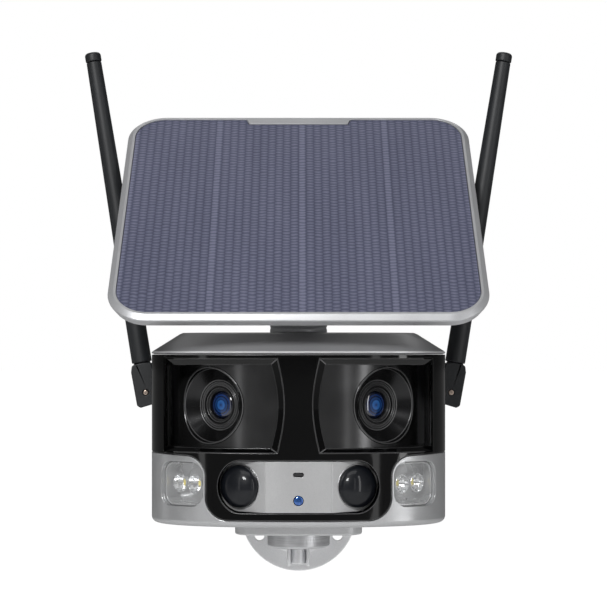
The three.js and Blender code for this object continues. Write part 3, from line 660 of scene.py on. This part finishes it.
def fork_outline():
    """Side view of the fork, leaned like the rod, its top rounded about the fold pin."""
    lean = radians(ANTENNA.lean)
    points = [(-6.2, -5.6), (-4.6, -7.2), (4.4, -8.4), (6.2, -6.8), (6.6, 12.6)]
    points += arc(0, 0, FORK.high, 71, 38, 10) + [(-6.2, 12.6)]
    return [(u * cos(lean) + w * sin(lean), w * cos(lean) - u * sin(lean)) for u, w in points]


def antenna_base():
    """Hex coupling, barrel and the fork that holds the fold pin."""
    body = join(bar((-18.6, 0, 0), (-12, 0, 0), 5.2, 6), bar((-12.1, 0, 0), (-6, 0, 0), 4.2),
                bar((-24, 0, 0), (-18.5, 0, 0), 3),
                prism(fork_outline(), -FORK.cheek_out, FORK.cheek_out, "y"))
    slot = block(FORK.web, 12, -FORK.cheek_in, FORK.cheek_in, FORK.floor, 20)
    return at_antenna(cut(body, slot, pin_hole()))


def antenna_pin():
    """Domed copper pin through the fork."""
    reach = FORK.cheek_out + 0.3
    radius = ANTENNA.pin
    profile = [(0, -reach), (1.1, -reach), (radius, -reach + 0.35), (radius, reach - 0.35), (1.1, reach),
               (0, reach)]
    return at_antenna(place(turned(profile, 32), 90, "X"))


def antenna_rod():
    """Tapered rubber rod on a flat tongue."""
    tip = ANTENNA.length - 5.5
    tongue = prism(rounded_rect(10.4, 25, 5.1, 0, 7.3), -2.9, 2.9, "y")
    rod = turned([(0, 17.5), (5.55, 17.5), (5.8, 17.9), (5.8, 19), (5.7, 50), (5.2, 110), (4.3, tip - 0.4),
                  (4.05, tip), (0, tip)])
    return at_antenna(cut(join(rod, tongue), pin_hole()), ANTENNA.lean)


def antenna_cap():
    """Rounded tip."""
    low, high, edge = ANTENNA.length - 5.2, ANTENNA.length, 1.8
    profile = [(0, low), (4.3, low), (4.6, low + 0.4)] + arc(2.8, high - edge, edge, 0, 90, 8)
    return at_antenna(turned(profile + [(0, high)]), ANTENNA.lean)


# ---- bracket under the head
def base_plate():
    """Rounded plate screwed under the head."""
    def ring(z, inset):
        return [(x, y, z) for x, y in rounded_rect(68.5 - 2 * inset, 62 - 2 * inset, 10 - inset, 0, -93)]

    levels = [(0.3, 1.0), (0.45, 0.5), (0.8, 0.15), (1.3, 0), (HEAD.bottom - GAP, 0)]
    body = loft([ring(z, inset) for z, inset in levels])
    return cut(body, *screw_holes(-5, 9))


def swivel_collar():
    """Round collar that turns on the clamp bolt."""
    collar, low = SWIVEL.collar, SWIVEL.low
    body = turned([(0, low), (collar - 1.4, low), (collar - 0.5, low + 0.5), (collar, low + 1.4),
                   (collar, 0), (0, 0)], ROUND)
    place(body, at=(0, SWIVEL.y, 0))
    return cut(body, bar((0, SWIVEL.y, -20), (0, SWIVEL.y, 9), 4.5))


def clamp_bolt():
    """Upright bolt in the arm's front recess."""
    rod = SWIVEL.rod
    body = turned([(0, -18.8), (rod - 0.6, -18.8), (rod, -18.2), (rod, -1.4), (rod - 0.4, -1), (0, -1)])
    return place(body, at=(0, SWIVEL.y, 0))


def ball(radius):
    """A sphere about the wall socket's centre."""
    angles = [radians(a) for a in range(5, 180, 5)]
    profile = [(radius * sin(a), -radius * cos(a)) for a in angles]
    return place(turned([(0, -radius)] + profile + [(0, radius)]), at=(0, HUB.y, 0))


def swivel_arm():
    """Arm from the upright bolt back to the ball in the wall socket."""
    outline = [(-98.5, -19.5), (-98.5, -9.3), (-56, -9.3), (-52, -13), (-52, -19.5)]
    rod = bar((0, -58, -14.6), (0, HUB.y - 2, -1), 4.9)
    body = join(prism(outline, -6.25, 6.25, "x"), rod, ball(HUB.ball))
    return cut(body, bar((0, SWIVEL.y, -30), (0, SWIVEL.y, 0), SWIVEL.rod + GAP),
               block(-4.3, 4.3, -110, SWIVEL.y, -30, 0))


def socket_hollow():
    """The ball's cavity and the slot for the arm's swing."""
    y = HUB.y
    mouth = [(y + 4, 4)] + [(y - 60 * cos(radians(a)), -60 * sin(radians(a))) for a in (-2, 40, 88)]
    return ball(HUB.ball + GAP), prism(mouth + [(y + 4, -4)], -5.6, 5.6, "x")


def socket_body(front, back):
    """A solid length of the socket's round body."""
    outer = HUB.outer
    return place(turned([(0, -back), (outer, -back), (outer, -front - 1.5), (outer - 0.5, -front - 0.4),
                         (outer - 1.5, -front), (0, -front)], ROUND), 90, "X")


def wall_bracket():
    """Wall flange with three screw holes and the rear half of the socket."""
    radius, thick = FLANGE.radius, FLANGE.thick
    plate = turned([(0, 0), (radius - 0.2, 0), (radius, 0.3), (radius, thick - 1),
                    (radius - 0.3, thick - 0.3), (radius - 1, thick), (0, thick)], ROUND)
    low, deep = thick - 0.5, HUB.boss_deep
    boss = turned([(0, low), (HUB.boss, low), (HUB.boss, deep), (HUB.outer, deep + 3.5),
                   (0, deep + 3.5)], ROUND)
    holes = []
    for angle in (90, 210, 330):
        x, z = FLANGE.holes * cos(radians(angle)), FLANGE.holes * sin(radians(angle))
        holes.append(bar((x, -9, z), (x, 3, z), FLANGE.hole))
    body = join(place(plate, 90, "X"), place(boss, 90, "X"), socket_body(HUB.y + 0.2, -3))
    return cut(body, *socket_hollow(), *holes)


def socket_ring():
    """Front half of the socket, clamped over the ball."""
    return cut(socket_body(HUB.front, HUB.y - 0.2), *socket_hollow())


# ---- materials
class Nodes:
    """Short calls for building one material's node tree."""

    def __init__(self, name):
        self.material = bpy.data.materials.new(name)
        self.material.use_nodes = True
        self.tree = self.material.node_tree
        self.shader = self.tree.nodes["Principled BSDF"]
        self.coords = self.add("ShaderNodeTexCoord").outputs["Object"]

    def add(self, kind, **settings):
        """A new node with the given properties."""
        node = self.tree.nodes.new(kind)
        for key, value in settings.items():
            setattr(node, key, value)
        return node

    def link(self, source, target):
        """Join two sockets."""
        self.tree.links.new(source, target)

    def math(self, operation, left, right=0.0):
        """A Math node of two values or sockets."""
        node = self.add("ShaderNodeMath", operation=operation)
        for socket, value in zip(node.inputs, (left, right)):
            if isinstance(value, bpy.types.NodeSocket):
                self.link(value, socket)
            else:
                socket.default_value = value
        return node.outputs[0]

    def scaled(self, scale, turn=(0, 0, 0)):
        """Object coordinates, stretched and turned."""
        node = self.add("ShaderNodeMapping")
        node.inputs["Scale"].default_value = scale
        node.inputs["Rotation"].default_value = turn
        self.link(self.coords, node.inputs["Vector"])
        return node.outputs[0]

    def noise(self, scale, detail, vector=None):
        """Noise value at a scale, on object coordinates."""
        node = self.add("ShaderNodeTexNoise")
        node.inputs["Scale"].default_value = scale
        node.inputs["Detail"].default_value = detail
        self.link(vector or self.coords, node.inputs["Vector"])
        return node.outputs["Fac"]

    def color(self, value, stops):
        """Base colour from a ramp of (position, colour) stops."""
        node = self.add("ShaderNodeValToRGB")
        elements = node.color_ramp.elements
        while len(elements) < len(stops):
            elements.new(0.5)
        for element, (position, color) in zip(elements, stops):
            element.position = position
            element.color = (*color, 1)
        self.link(value, node.inputs["Fac"])
        self.link(node.outputs["Color"], self.shader.inputs["Base Color"])

    def mottle(self, value, low, high):
        """Base colour that drifts between two tones."""
        self.color(value, [(0.3, low), (0.7, high)])

    def tint(self, value, color, spread, reach=0.2):
        """Base colour from a darker to a lighter shade of one colour."""
        self.color(value, [(0.5 + side * reach, [min(1, c * (1 + side * spread)) for c in color])
                           for side in (-1, 0, 1)])

    def rough(self, value, low, high, source=(0.3, 0.7)):
        """Roughness from low to high over the value's own range."""
        node = self.add("ShaderNodeMapRange")
        for index, number in zip((1, 2, 3, 4), (*source, low, high)):
            node.inputs[index].default_value = number
        self.link(value, node.inputs["Value"])
        self.link(node.outputs["Result"], self.shader.inputs["Roughness"])

    def bump(self, height, strength, distance):
        """Bump into the shader's normal."""
        node = self.add("ShaderNodeBump")
        node.inputs["Strength"].default_value = strength
        node.inputs["Distance"].default_value = distance
        self.link(height, node.inputs["Height"])
        self.link(node.outputs["Normal"], self.shader.inputs["Normal"])

    def set(self, **values):
        """Plain numbers on the shader's own sockets."""
        for name, value in values.items():
            self.shader.inputs[name.replace("_", " ")].default_value = value


def lacquer(name, color, roughness, metallic, flake=0.06, peel=0.05):
    """Satin paint over plastic: fine flake, faint clouding and a little orange peel."""
    n = Nodes(name)
    flakes = n.noise(2600, 2)
    clouds = n.noise(14, 4)
    mixed = n.math("ADD", n.math("MULTIPLY", flakes, 0.65), n.math("MULTIPLY", clouds, 0.35))
    n.tint(mixed, color, flake, 0.16)
    n.rough(n.noise(60, 5), roughness - 0.05, roughness + 0.06)
    n.bump(n.noise(900, 2), peel, 0.0002)
    n.set(Metallic=metallic)
    return n.material


def gloss_black():
    """Piano black with faint polishing haze and dust-fine roughness changes."""
    n = Nodes("gloss_black")
    n.mottle(n.noise(20, 3), (0.0008, 0.0008, 0.0009), (0.0016, 0.0016, 0.0018))
    n.rough(n.noise(45, 6), 0.05, 0.085)
    n.bump(n.noise(160, 2), 0.012, 0.0004)
    n.set(IOR=1.5, Specular_IOR_Level=0.42)
    return n.material


def moulded_black(name, color=(0.011, 0.0115, 0.0125), roughness=0.42, grain=3200, depth=0.12, metallic=0.0):
    """Satin moulded black with a fine spark grain."""
    n = Nodes(name)
    n.tint(n.noise(35, 4), color, 0.25)
    n.rough(n.noise(90, 2), roughness - 0.03, roughness + 0.03, (0.1, 0.9))
    n.bump(n.noise(grain, 2), depth, 0.00015)
    n.set(Metallic=metallic)
    return n.material


def brushed_steel(name="brushed_steel", color=(0.52, 0.53, 0.54), roughness=0.3):
    """Bright metal with turning marks."""
    n = Nodes(name)
    marks = n.noise(240, 3, n.scaled((0.2, 0.2, 14)))
    n.tint(marks, color, 0.18)
    n.rough(marks, roughness - 0.08, roughness + 0.1)
    n.bump(marks, 0.08, 0.0001)
    n.set(Metallic=1.0)
    return n.material


def solar_cells():
    """Violet-blue cells in four columns under a sheet embossed with rows of small dimples."""
    n = Nodes("solar_cells")
    flat = n.scaled((1000, 1000, 1000), (-radians(PANEL.tilt), 0, 0))
    split = n.add("ShaderNodeSeparateXYZ")
    n.link(flat, split.inputs[0])
    across, along = split.outputs["X"], split.outputs["Y"]
    column_pitch, row_pitch, cell_width, seam_half = 4.4, 2.5, 48.5, 0.032
    column = n.math("SINE", n.math("MULTIPLY", across, pi / column_pitch))
    stagger = n.math("MULTIPLY", n.math("SIGN", column), 1.2)
    drift = n.math("MULTIPLY", n.noise(120, 2), 7)
    phase = n.math("ADD", n.math("MULTIPLY", along, 2 * pi / row_pitch), n.math("ADD", stagger, drift))
    row = n.math("SINE", phase)
    ridge = n.math("POWER", n.math("ABSOLUTE", column), 0.4)
    weave = n.math("MULTIPLY", ridge, n.math("ADD", n.math("MULTIPLY", row, 0.36), 0.62))
    grain = n.noise(900, 3, n.scaled((0.8, 1.6, 1.6)))
    patches = n.noise(30, 4, n.scaled((1.6, 0.35, 0.35)))
    tone = n.math("ADD", n.math("MULTIPLY", weave, 0.5), n.math("MULTIPLY", grain, 0.3))
    tone = n.math("ADD", tone, n.math("MULTIPLY", patches, 0.2))
    cell = n.math("DIVIDE", n.math("SUBTRACT", across, 2), cell_width)
    cell = n.math("FRACT", n.math("ADD", cell, 0.5))
    seam = n.math("ABSOLUTE", n.math("SUBTRACT", cell, 0.5))
    seam = n.math("MULTIPLY", n.math("LESS_THAN", seam, seam_half), 0.13)
    tone = n.math("ADD", tone, seam)
    n.color(tone, [(0.25, (0.045, 0.050, 0.088)), (0.5, (0.088, 0.093, 0.150)),
                   (0.78, (0.165, 0.172, 0.250))])
    n.rough(grain, 0.42, 0.55)
    n.bump(weave, 0.5, 0.00025)
    n.set(IOR=1.45)
    return n.material


def coated_glass(name, color, glow):
    """Polished glass with a faintly clouded coating."""
    n = Nodes(name)
    n.mottle(n.noise(700, 3), color, glow)
    n.rough(n.noise(200, 3), 0.03, 0.06)
    n.set(Metallic=0.6, Coat_Weight=1.0, Coat_Roughness=0.02, Coat_IOR=1.6)
    return n.material


def lens_coating():
    """Lens elements seen through the front glass: blue rings about the eye's axis."""
    n = Nodes("lens_coating")
    split, merge = n.add("ShaderNodeSeparateXYZ"), n.add("ShaderNodeCombineXYZ")
    n.link(n.coords, split.inputs[0])
    n.link(n.math("ABSOLUTE", split.outputs["X"]), merge.inputs["X"])
    n.link(split.outputs["Y"], merge.inputs["Y"])
    n.link(split.outputs["Z"], merge.inputs["Z"])
    offset, turn, reach = [n.add("ShaderNodeVectorMath", operation=kind)
                           for kind in ("SUBTRACT", "CROSS_PRODUCT", "LENGTH")]
    offset.inputs[1].default_value = [EYE.x * MM, EYE.y * MM, EYE.z * MM]
    turn.inputs[1].default_value = (sin(radians(EYE.angle)), -cos(radians(EYE.angle)), 0)
    n.link(merge.outputs[0], offset.inputs[0])
    n.link(offset.outputs[0], turn.inputs[0])
    n.link(turn.outputs[0], reach.inputs[0])
    share = n.math("DIVIDE", reach.outputs["Value"], EYE.glass * MM)
    share = n.math("ADD", share, n.math("MULTIPLY", n.math("SUBTRACT", n.noise(700, 3), 0.5), 0.08))
    navy, blue, dark = (0.006, 0.022, 0.09), (0.02, 0.10, 0.34), (0.004, 0.008, 0.03)
    stops = [(0.0, navy), (0.16, blue), (0.3, (0.03, 0.14, 0.42)), (0.4, navy), (0.5, (0.015, 0.06, 0.2)),
             (0.62, dark), (0.72, (0.012, 0.04, 0.16)), (0.82, dark), (1.0, (0.004, 0.005, 0.008))]
    n.color(share, stops)
    n.rough(n.noise(200, 3), 0.03, 0.06)
    n.set(Coat_Weight=1.0, Coat_Roughness=0.02, Coat_IOR=1.6)
    return n.material


def smoked_dome():
    """Dark moulded sensor dome: cloudy under a thin polish."""
    n = Nodes("smoked_dome")
    n.mottle(n.noise(60, 3), (0.0035, 0.0045, 0.0065), (0.006, 0.007, 0.010))
    n.rough(n.noise(150, 3), 0.4, 0.46)
    n.set(Specular_IOR_Level=0.2, Coat_Weight=0.4, Coat_Roughness=0.03)
    return n.material


def clear_window():
    """Thin clear window: mostly see-through, with faint flow lines in its polish."""
    n = Nodes("clear_window")
    n.mottle(n.noise(18, 3), (0.80, 0.81, 0.82), (0.88, 0.89, 0.90))
    n.rough(n.noise(60, 3), 0.05, 0.09)
    n.set(Alpha=0.12)
    return n.material


def phosphor():
    """Yellow phosphor of a white diode."""
    n = Nodes("phosphor")
    n.mottle(n.noise(4000, 2), (0.85, 0.66, 0.05), (0.98, 0.84, 0.18))
    n.set(Roughness=0.5)
    return n.material


def circuit_board():
    """Green solder mask with lighter tracks."""
    n = Nodes("circuit_board")
    tracks = n.noise(420, 1, n.scaled((1, 6, 1)))
    n.color(tracks, [(0.46, (0.01, 0.075, 0.03)), (0.54, (0.03, 0.16, 0.07))])
    n.set(Roughness=0.4)
    return n.material


def shrink_wrap():
    """Blue battery wrap with small creases."""
    n = Nodes("shrink_wrap")
    creases = n.noise(80, 5)
    n.mottle(creases, (0.02, 0.11, 0.32), (0.04, 0.2, 0.5))
    n.bump(creases, 0.3, 0.0006)
    n.set(Roughness=0.35)
    return n.material


SILVER = lacquer("silver_paint", (0.56, 0.566, 0.575), 0.34, 0.75)
PLATE_SILVER = lacquer("plate_silver", (0.53, 0.532, 0.537), 0.4, 0.4)
CAST = lacquer("cast_silver", (0.68, 0.685, 0.695), 0.4, 0.35)
COLLAR = brushed_steel("collar_metal", (0.66, 0.665, 0.68), 0.38)
ZINC = lacquer("zinc_silver", (0.88, 0.885, 0.9), 0.38, 0.4)
GREY = lacquer("panel_grey", (0.54, 0.545, 0.56), 0.38, 0.5)
TURRET = moulded_black("turret_black", (0.09, 0.09, 0.0915), 0.22, 2600, 0.02, 0.9)
BARREL = moulded_black("barrel_black", (0.012, 0.012, 0.013), 0.35)
CONE = moulded_black("cone_black", (0.028, 0.028, 0.029), 0.2, 2600, 0.02, 0.8)
GUNMETAL = lacquer("gunmetal_paint", (0.31, 0.31, 0.32), 0.42, 0.2)
GLOSS = gloss_black()
SATIN = moulded_black("satin_black")
CHARCOAL = moulded_black("antenna_charcoal", (0.012, 0.0135, 0.0155), 0.5, 1800, 0.1)
RUBBER = moulded_black("black_rubber", (0.014, 0.014, 0.015), 0.6, 1500, 0.2)
DOME = smoked_dome()
LENS = lens_coating()
LAMP = coated_glass("status_blue", (0.009, 0.055, 0.3), (0.055, 0.21, 0.62))
STEEL = brushed_steel()
RIM = brushed_steel("bright_rim", (0.5, 0.5, 0.51), 0.32)
COPPER = brushed_steel("pin_metal", (0.62, 0.50, 0.42), 0.28)
CLEAR = clear_window()
CUP = brushed_steel("bright_cup", (0.86, 0.87, 0.88), 0.16)
TRAY = lacquer("tray_silver", (0.50, 0.505, 0.51), 0.28, 0.65)
CELLS = solar_cells()
PHOSPHOR = phosphor()
BOARD = circuit_board()
WRAP = shrink_wrap()
# Lighter satin paint for the rounded edges of the black parts: a painted highlight along each edge.
BLACK_EDGE_HIGHLIGHT = moulded_black("painted_edge_highlight", (0.10, 0.10, 0.102), 0.25, 2600, 0.02, 0.3)
# Second material for the bevels of pieces in each paint: painted edge highlights.
EDGE_HIGHLIGHTS = {
    GLOSS: BLACK_EDGE_HIGHLIGHT,
    CONE: BLACK_EDGE_HIGHLIGHT,
    BARREL: BLACK_EDGE_HIGHLIGHT,
    # Near-white paint on the gunmetal cover's edges and lip: a painted highlight.
    GUNMETAL: lacquer("painted_rim_highlight", (0.85, 0.855, 0.86), 0.34, 0.3),
}


# ---- assembly
def finish_piece(obj, name, body, material, slot, width, nodes=(), angle=32):
    """Paint and soften a piece, name it and hang it on its body in place of its CAD nodes."""
    obj.data.materials.clear()
    obj.data.materials.append(material)
    # Paints with an edge paint get it as a second material: a painted highlight on the bevels.
    if material in EDGE_HIGHLIGHTS:
        obj.data.materials.append(EDGE_HIGHLIGHTS[material])
    soften(obj, width, angle)
    obj.name = name
    obj.data.name = name
    if nodes:
        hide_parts(*nodes)
    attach(obj, body)
    return obj


def paint_lip_highlight(cover):
    """Give the cover's upright lip the same near-white edge paint as its edges: a painted highlight along the
    lip.
    """
    for face in cover.data.polygons:
        if face.center.z < (HEAD.rim + 0.3) * MM and abs(face.normal.z) < 0.5:
            face.material_index = 1


def calm_ends(bezel):
    """Leave the far ends of the eye windows in plain gloss, without the painted edge highlight."""
    for face in bezel.data.polygons:
        if abs(face.center.x) > (WINDOW.outer - 4) * MM:
            face.material_index = 0


def from_node(node):
    """The CAD node's own shape as a new object, ready to be softened."""
    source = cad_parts[node]
    bm = bmesh.new()
    bm.from_mesh(source.data)
    bm.transform(source.matrix_world)
    bmesh.ops.remove_doubles(bm, verts=bm.verts, dist=1e-6)
    mesh = bpy.data.meshes.new(node)
    bm.to_mesh(mesh)
    bm.free()
    return new_object(node, mesh)


def base_screw():
    """Cap screw up through the base plate, with a hexagon socket."""
    x, y = SCREW.x, SWIVEL.y
    body = join(bar((x, y, -2.4), (x, y, 0), 3.7), bar((x, y, -1), (x, y, 11.5), 1.8))
    return cut(body, bar((x, y, -3), (x, y, -1), 1.9, 6))


SINGLES = [
    (front_bezel, "head", GLOSS, "gloss_black", 0.36),
    (rear_shell, "head", SILVER, "silver", 0.4),
    (top_cover, "head", GUNMETAL, "gunmetal", 0.6),
    (cover_gasket, "head", RUBBER, "rubber", 0.05),
    (center_plate, "head", PLATE_SILVER, "silver", 0.35, 20),
    (microphone, "head", RUBBER, "rubber", 0.2),
    (status_light, "head", LAMP, "blue_glass", 0.1),
    (panel_neck, "head", ZINC, "gunmetal", 0.4),
    (base_plate, "head", CAST, "silver", 0.4),
    (swivel_collar, "head", COLLAR, "silver", 0.3),
    (service_flap, "flap", RUBBER, "rubber", 0.3),
    (panel_frame, "panel", GREY, "silver", 0.2),
    (solar_laminate, "panel", CELLS, "cells", 0.15),
    (panel_bracket, "panel", GUNMETAL, "gunmetal", 0.5),
    (neck_bolt, "panel", STEEL, "steel", 0.3),
    (neck_nut, "panel", SATIN, "satin_black", 0.4),
    (clamp_bolt, "arm", ZINC, "steel", 0.2),
    (swivel_arm, "arm", ZINC, "silver", 0.6),
    (wall_bracket, "bracket", ZINC, "silver", 0.08),
    (socket_ring, "bracket", ZINC, "silver", 0.08),
]
PAIRS = [
    (base_screw, "head", STEEL, "steel", 0.25),
    (eye_shroud, "head", TURRET, "gloss_black", 0.15),
    (eye_cone, "head", CONE, "satin_black", 0.35),
    (lens_barrel, "head", BARREL, "satin_black", 0.08),
    (lens_glass, "head", LENS, "blue_glass", 0.05),
    (pir_dome, "head", DOME, "satin_black", 0.1),
    (light_cover, "head", CLEAR, "clear", 0.2),
    (light_tray, "head", TRAY, "reflector", 0.3),
    (antenna_base, "antenna_base", CHARCOAL, "satin_black", 0.7),
    (antenna_pin, "antenna_base", COPPER, "copper", 0.15),
    (antenna_rod, "antenna", CHARCOAL, "satin_black", 0.4),
    (antenna_cap, "antenna", CHARCOAL, "satin_black", 0.2),
]
KEPT = [
    ("main_board", "head", BOARD, "board"),
    ("battery_pack", "head", WRAP, "battery"),
    ("speaker", "head", SATIN, "satin_black"),
    ("port_panel", "head", SATIN, "satin_black"),
    ("power_button", "button", RUBBER, "rubber"),
    ("panel_back", "panel", SATIN, "satin_black"),
    ("pir_sensor_right", "head", STEEL, "steel"),
    ("pir_sensor_left", "head", STEEL, "steel"),
    ("camera_board_right", "head", BOARD, "board"),
    ("camera_board_left", "head", BOARD, "board"),
]


def both_sides(obj):
    """The shape and its mirror image, each with the name of its side."""
    return zip(("right", "left"), pair(obj))


def assemble():
    """Build every shown piece and hang it on its body."""
    for build, body, material, slot, width, *angle in SINGLES:
        node = build.__name__
        piece = finish_piece(build(), node + "_look", body, material, slot, width, [node], *angle)
        # The cover's lip gets the painted edge highlight; the far ends of the eye windows lose it.
        if build is top_cover:
            paint_lip_highlight(piece)
        if build is front_bezel:
            calm_ends(piece)
    for build, body, material, slot, width in PAIRS:
        for side, obj in both_sides(build()):
            node = f"{build.__name__}_{side}"
            home = f"{body}_{side}" if body.startswith("antenna") else body
            finish_piece(obj, node + "_look", home, material, slot, width, [node])
    for node, body, material, slot in KEPT:
        finish_piece(from_node(node), node + "_look", body, material, slot, 0.3, [node])
    for side, obj in both_sides(pir_rim()):
        finish_piece(obj, f"pir_rim_{side}", "head", RIM, "steel", 0.1)
    for row, offset in (("inner", -1), ("outer", 1)):
        for side, obj in both_sides(led_cup(offset)):
            node = f"led_{row}_{side}"
            finish_piece(obj, node + "_look", "head", CUP, "clear", 0.08, [node], 8)
        for side, obj in both_sides(led_die(offset)):
            finish_piece(obj, f"led_die_{row}_{side}", "head", PHOSPHOR, "reflector", 0.05)


assemble()


# ---- floor, light and camera
def pale_world():
    """Near-white seen by the camera and a dimmer, even fill for everything else."""
    world = bpy.data.worlds.new("studio")
    bpy.context.scene.world = world
    world.use_nodes = True
    tree = world.node_tree
    shown, fill = tree.nodes["Background"], tree.nodes.new("ShaderNodeBackground")
    for background, strength in ((shown, 1.0), (fill, 0.09)):
        background.inputs["Color"].default_value = (1, 1, 1, 1)
        background.inputs["Strength"].default_value = strength
    path, mix = tree.nodes.new("ShaderNodeLightPath"), tree.nodes.new("ShaderNodeMixShader")
    tree.links.new(path.outputs["Is Camera Ray"], mix.inputs["Fac"])
    tree.links.new(fill.outputs[0], mix.inputs[1])
    tree.links.new(shown.outputs[0], mix.inputs[2])
    tree.links.new(mix.outputs[0], tree.nodes["World Output"].inputs["Surface"])


def pale_floor():
    """A wide plain floor below the object."""
    n = Nodes("pale_floor")
    n.mottle(n.noise(3, 4), (0.86, 0.86, 0.86), (0.9, 0.9, 0.9))
    n.rough(n.noise(12, 3), 0.75, 0.9)
    camera_ray = n.add("ShaderNodeLightPath").outputs["Is Camera Ray"]
    n.link(n.math("ADD", n.math("MULTIPLY", camera_ray, 0.86), 0.1), n.shader.inputs["Emission Strength"])
    n.set(Emission_Color=(1, 1, 1, 1))
    far, top = 40000, -400
    floor = block(-far, far, -far, far, top - 20, top)
    floor.name = "floor"
    floor.data.materials.append(n.material)


def softbox(name, azimuth, elevation, distance, width, height, power):
    """An area light aimed at the head; azimuth 0 is the camera's side and grows to the right."""
    data = bpy.data.lights.new(name, "AREA")
    data.shape = "RECTANGLE"
    data.size, data.size_y = width, height
    data.energy = power
    a, e = radians(azimuth), radians(elevation)
    back = Vector((sin(a) * cos(e), -cos(a) * cos(e), sin(e)))
    light = bpy.data.objects.new(name, data)
    light.location = Vector((0, -0.09, 0.09)) + back * distance
    light.rotation_mode = "QUATERNION"
    light.rotation_quaternion = back.to_track_quat("Z", "Y")
    light.visible_camera = False
    COLLECTION.objects.link(light)


def studio():
    """Soft key from above and in front, strips at the sides for the gloss, and a level camera."""
    pale_world()
    pale_floor()
    softbox("key", -18, 28, 1.6, 0.42, 0.3, 15)
    softbox("top", 0, 62, 1.5, 1.4, 0.6, 4.5)
    softbox("strip_right", 47, 6, 1.2, 0.14, 1.1, 2.1)
    softbox("strip_middle", 28, 6, 1.4, 0.12, 1.0, 0.5)
    softbox("strip_left", -40, 6, 1.3, 0.12, 1.0, 0.5)
    softbox("side_left", -90, 6, 1.3, 0.15, 1.0, 0.3)
    softbox("back_fill", 180, 50, 1.8, 1.4, 0.9, 7)
    view = bpy.data.cameras.new("camera")
    view.sensor_width, view.lens = 36, 93.3
    view.shift_x, view.shift_y = 0.0082, 0.0807
    view.clip_start, view.clip_end = 0.01, 60
    camera = bpy.data.objects.new("camera", view)
    COLLECTION.objects.link(camera)
    camera.location = (0, -0.962, 0.098)
    camera.rotation_euler = (pi / 2, 0, 0)
    bpy.context.scene.camera = camera


studio()
bpy.context.scene.view_settings.view_transform = "Standard"
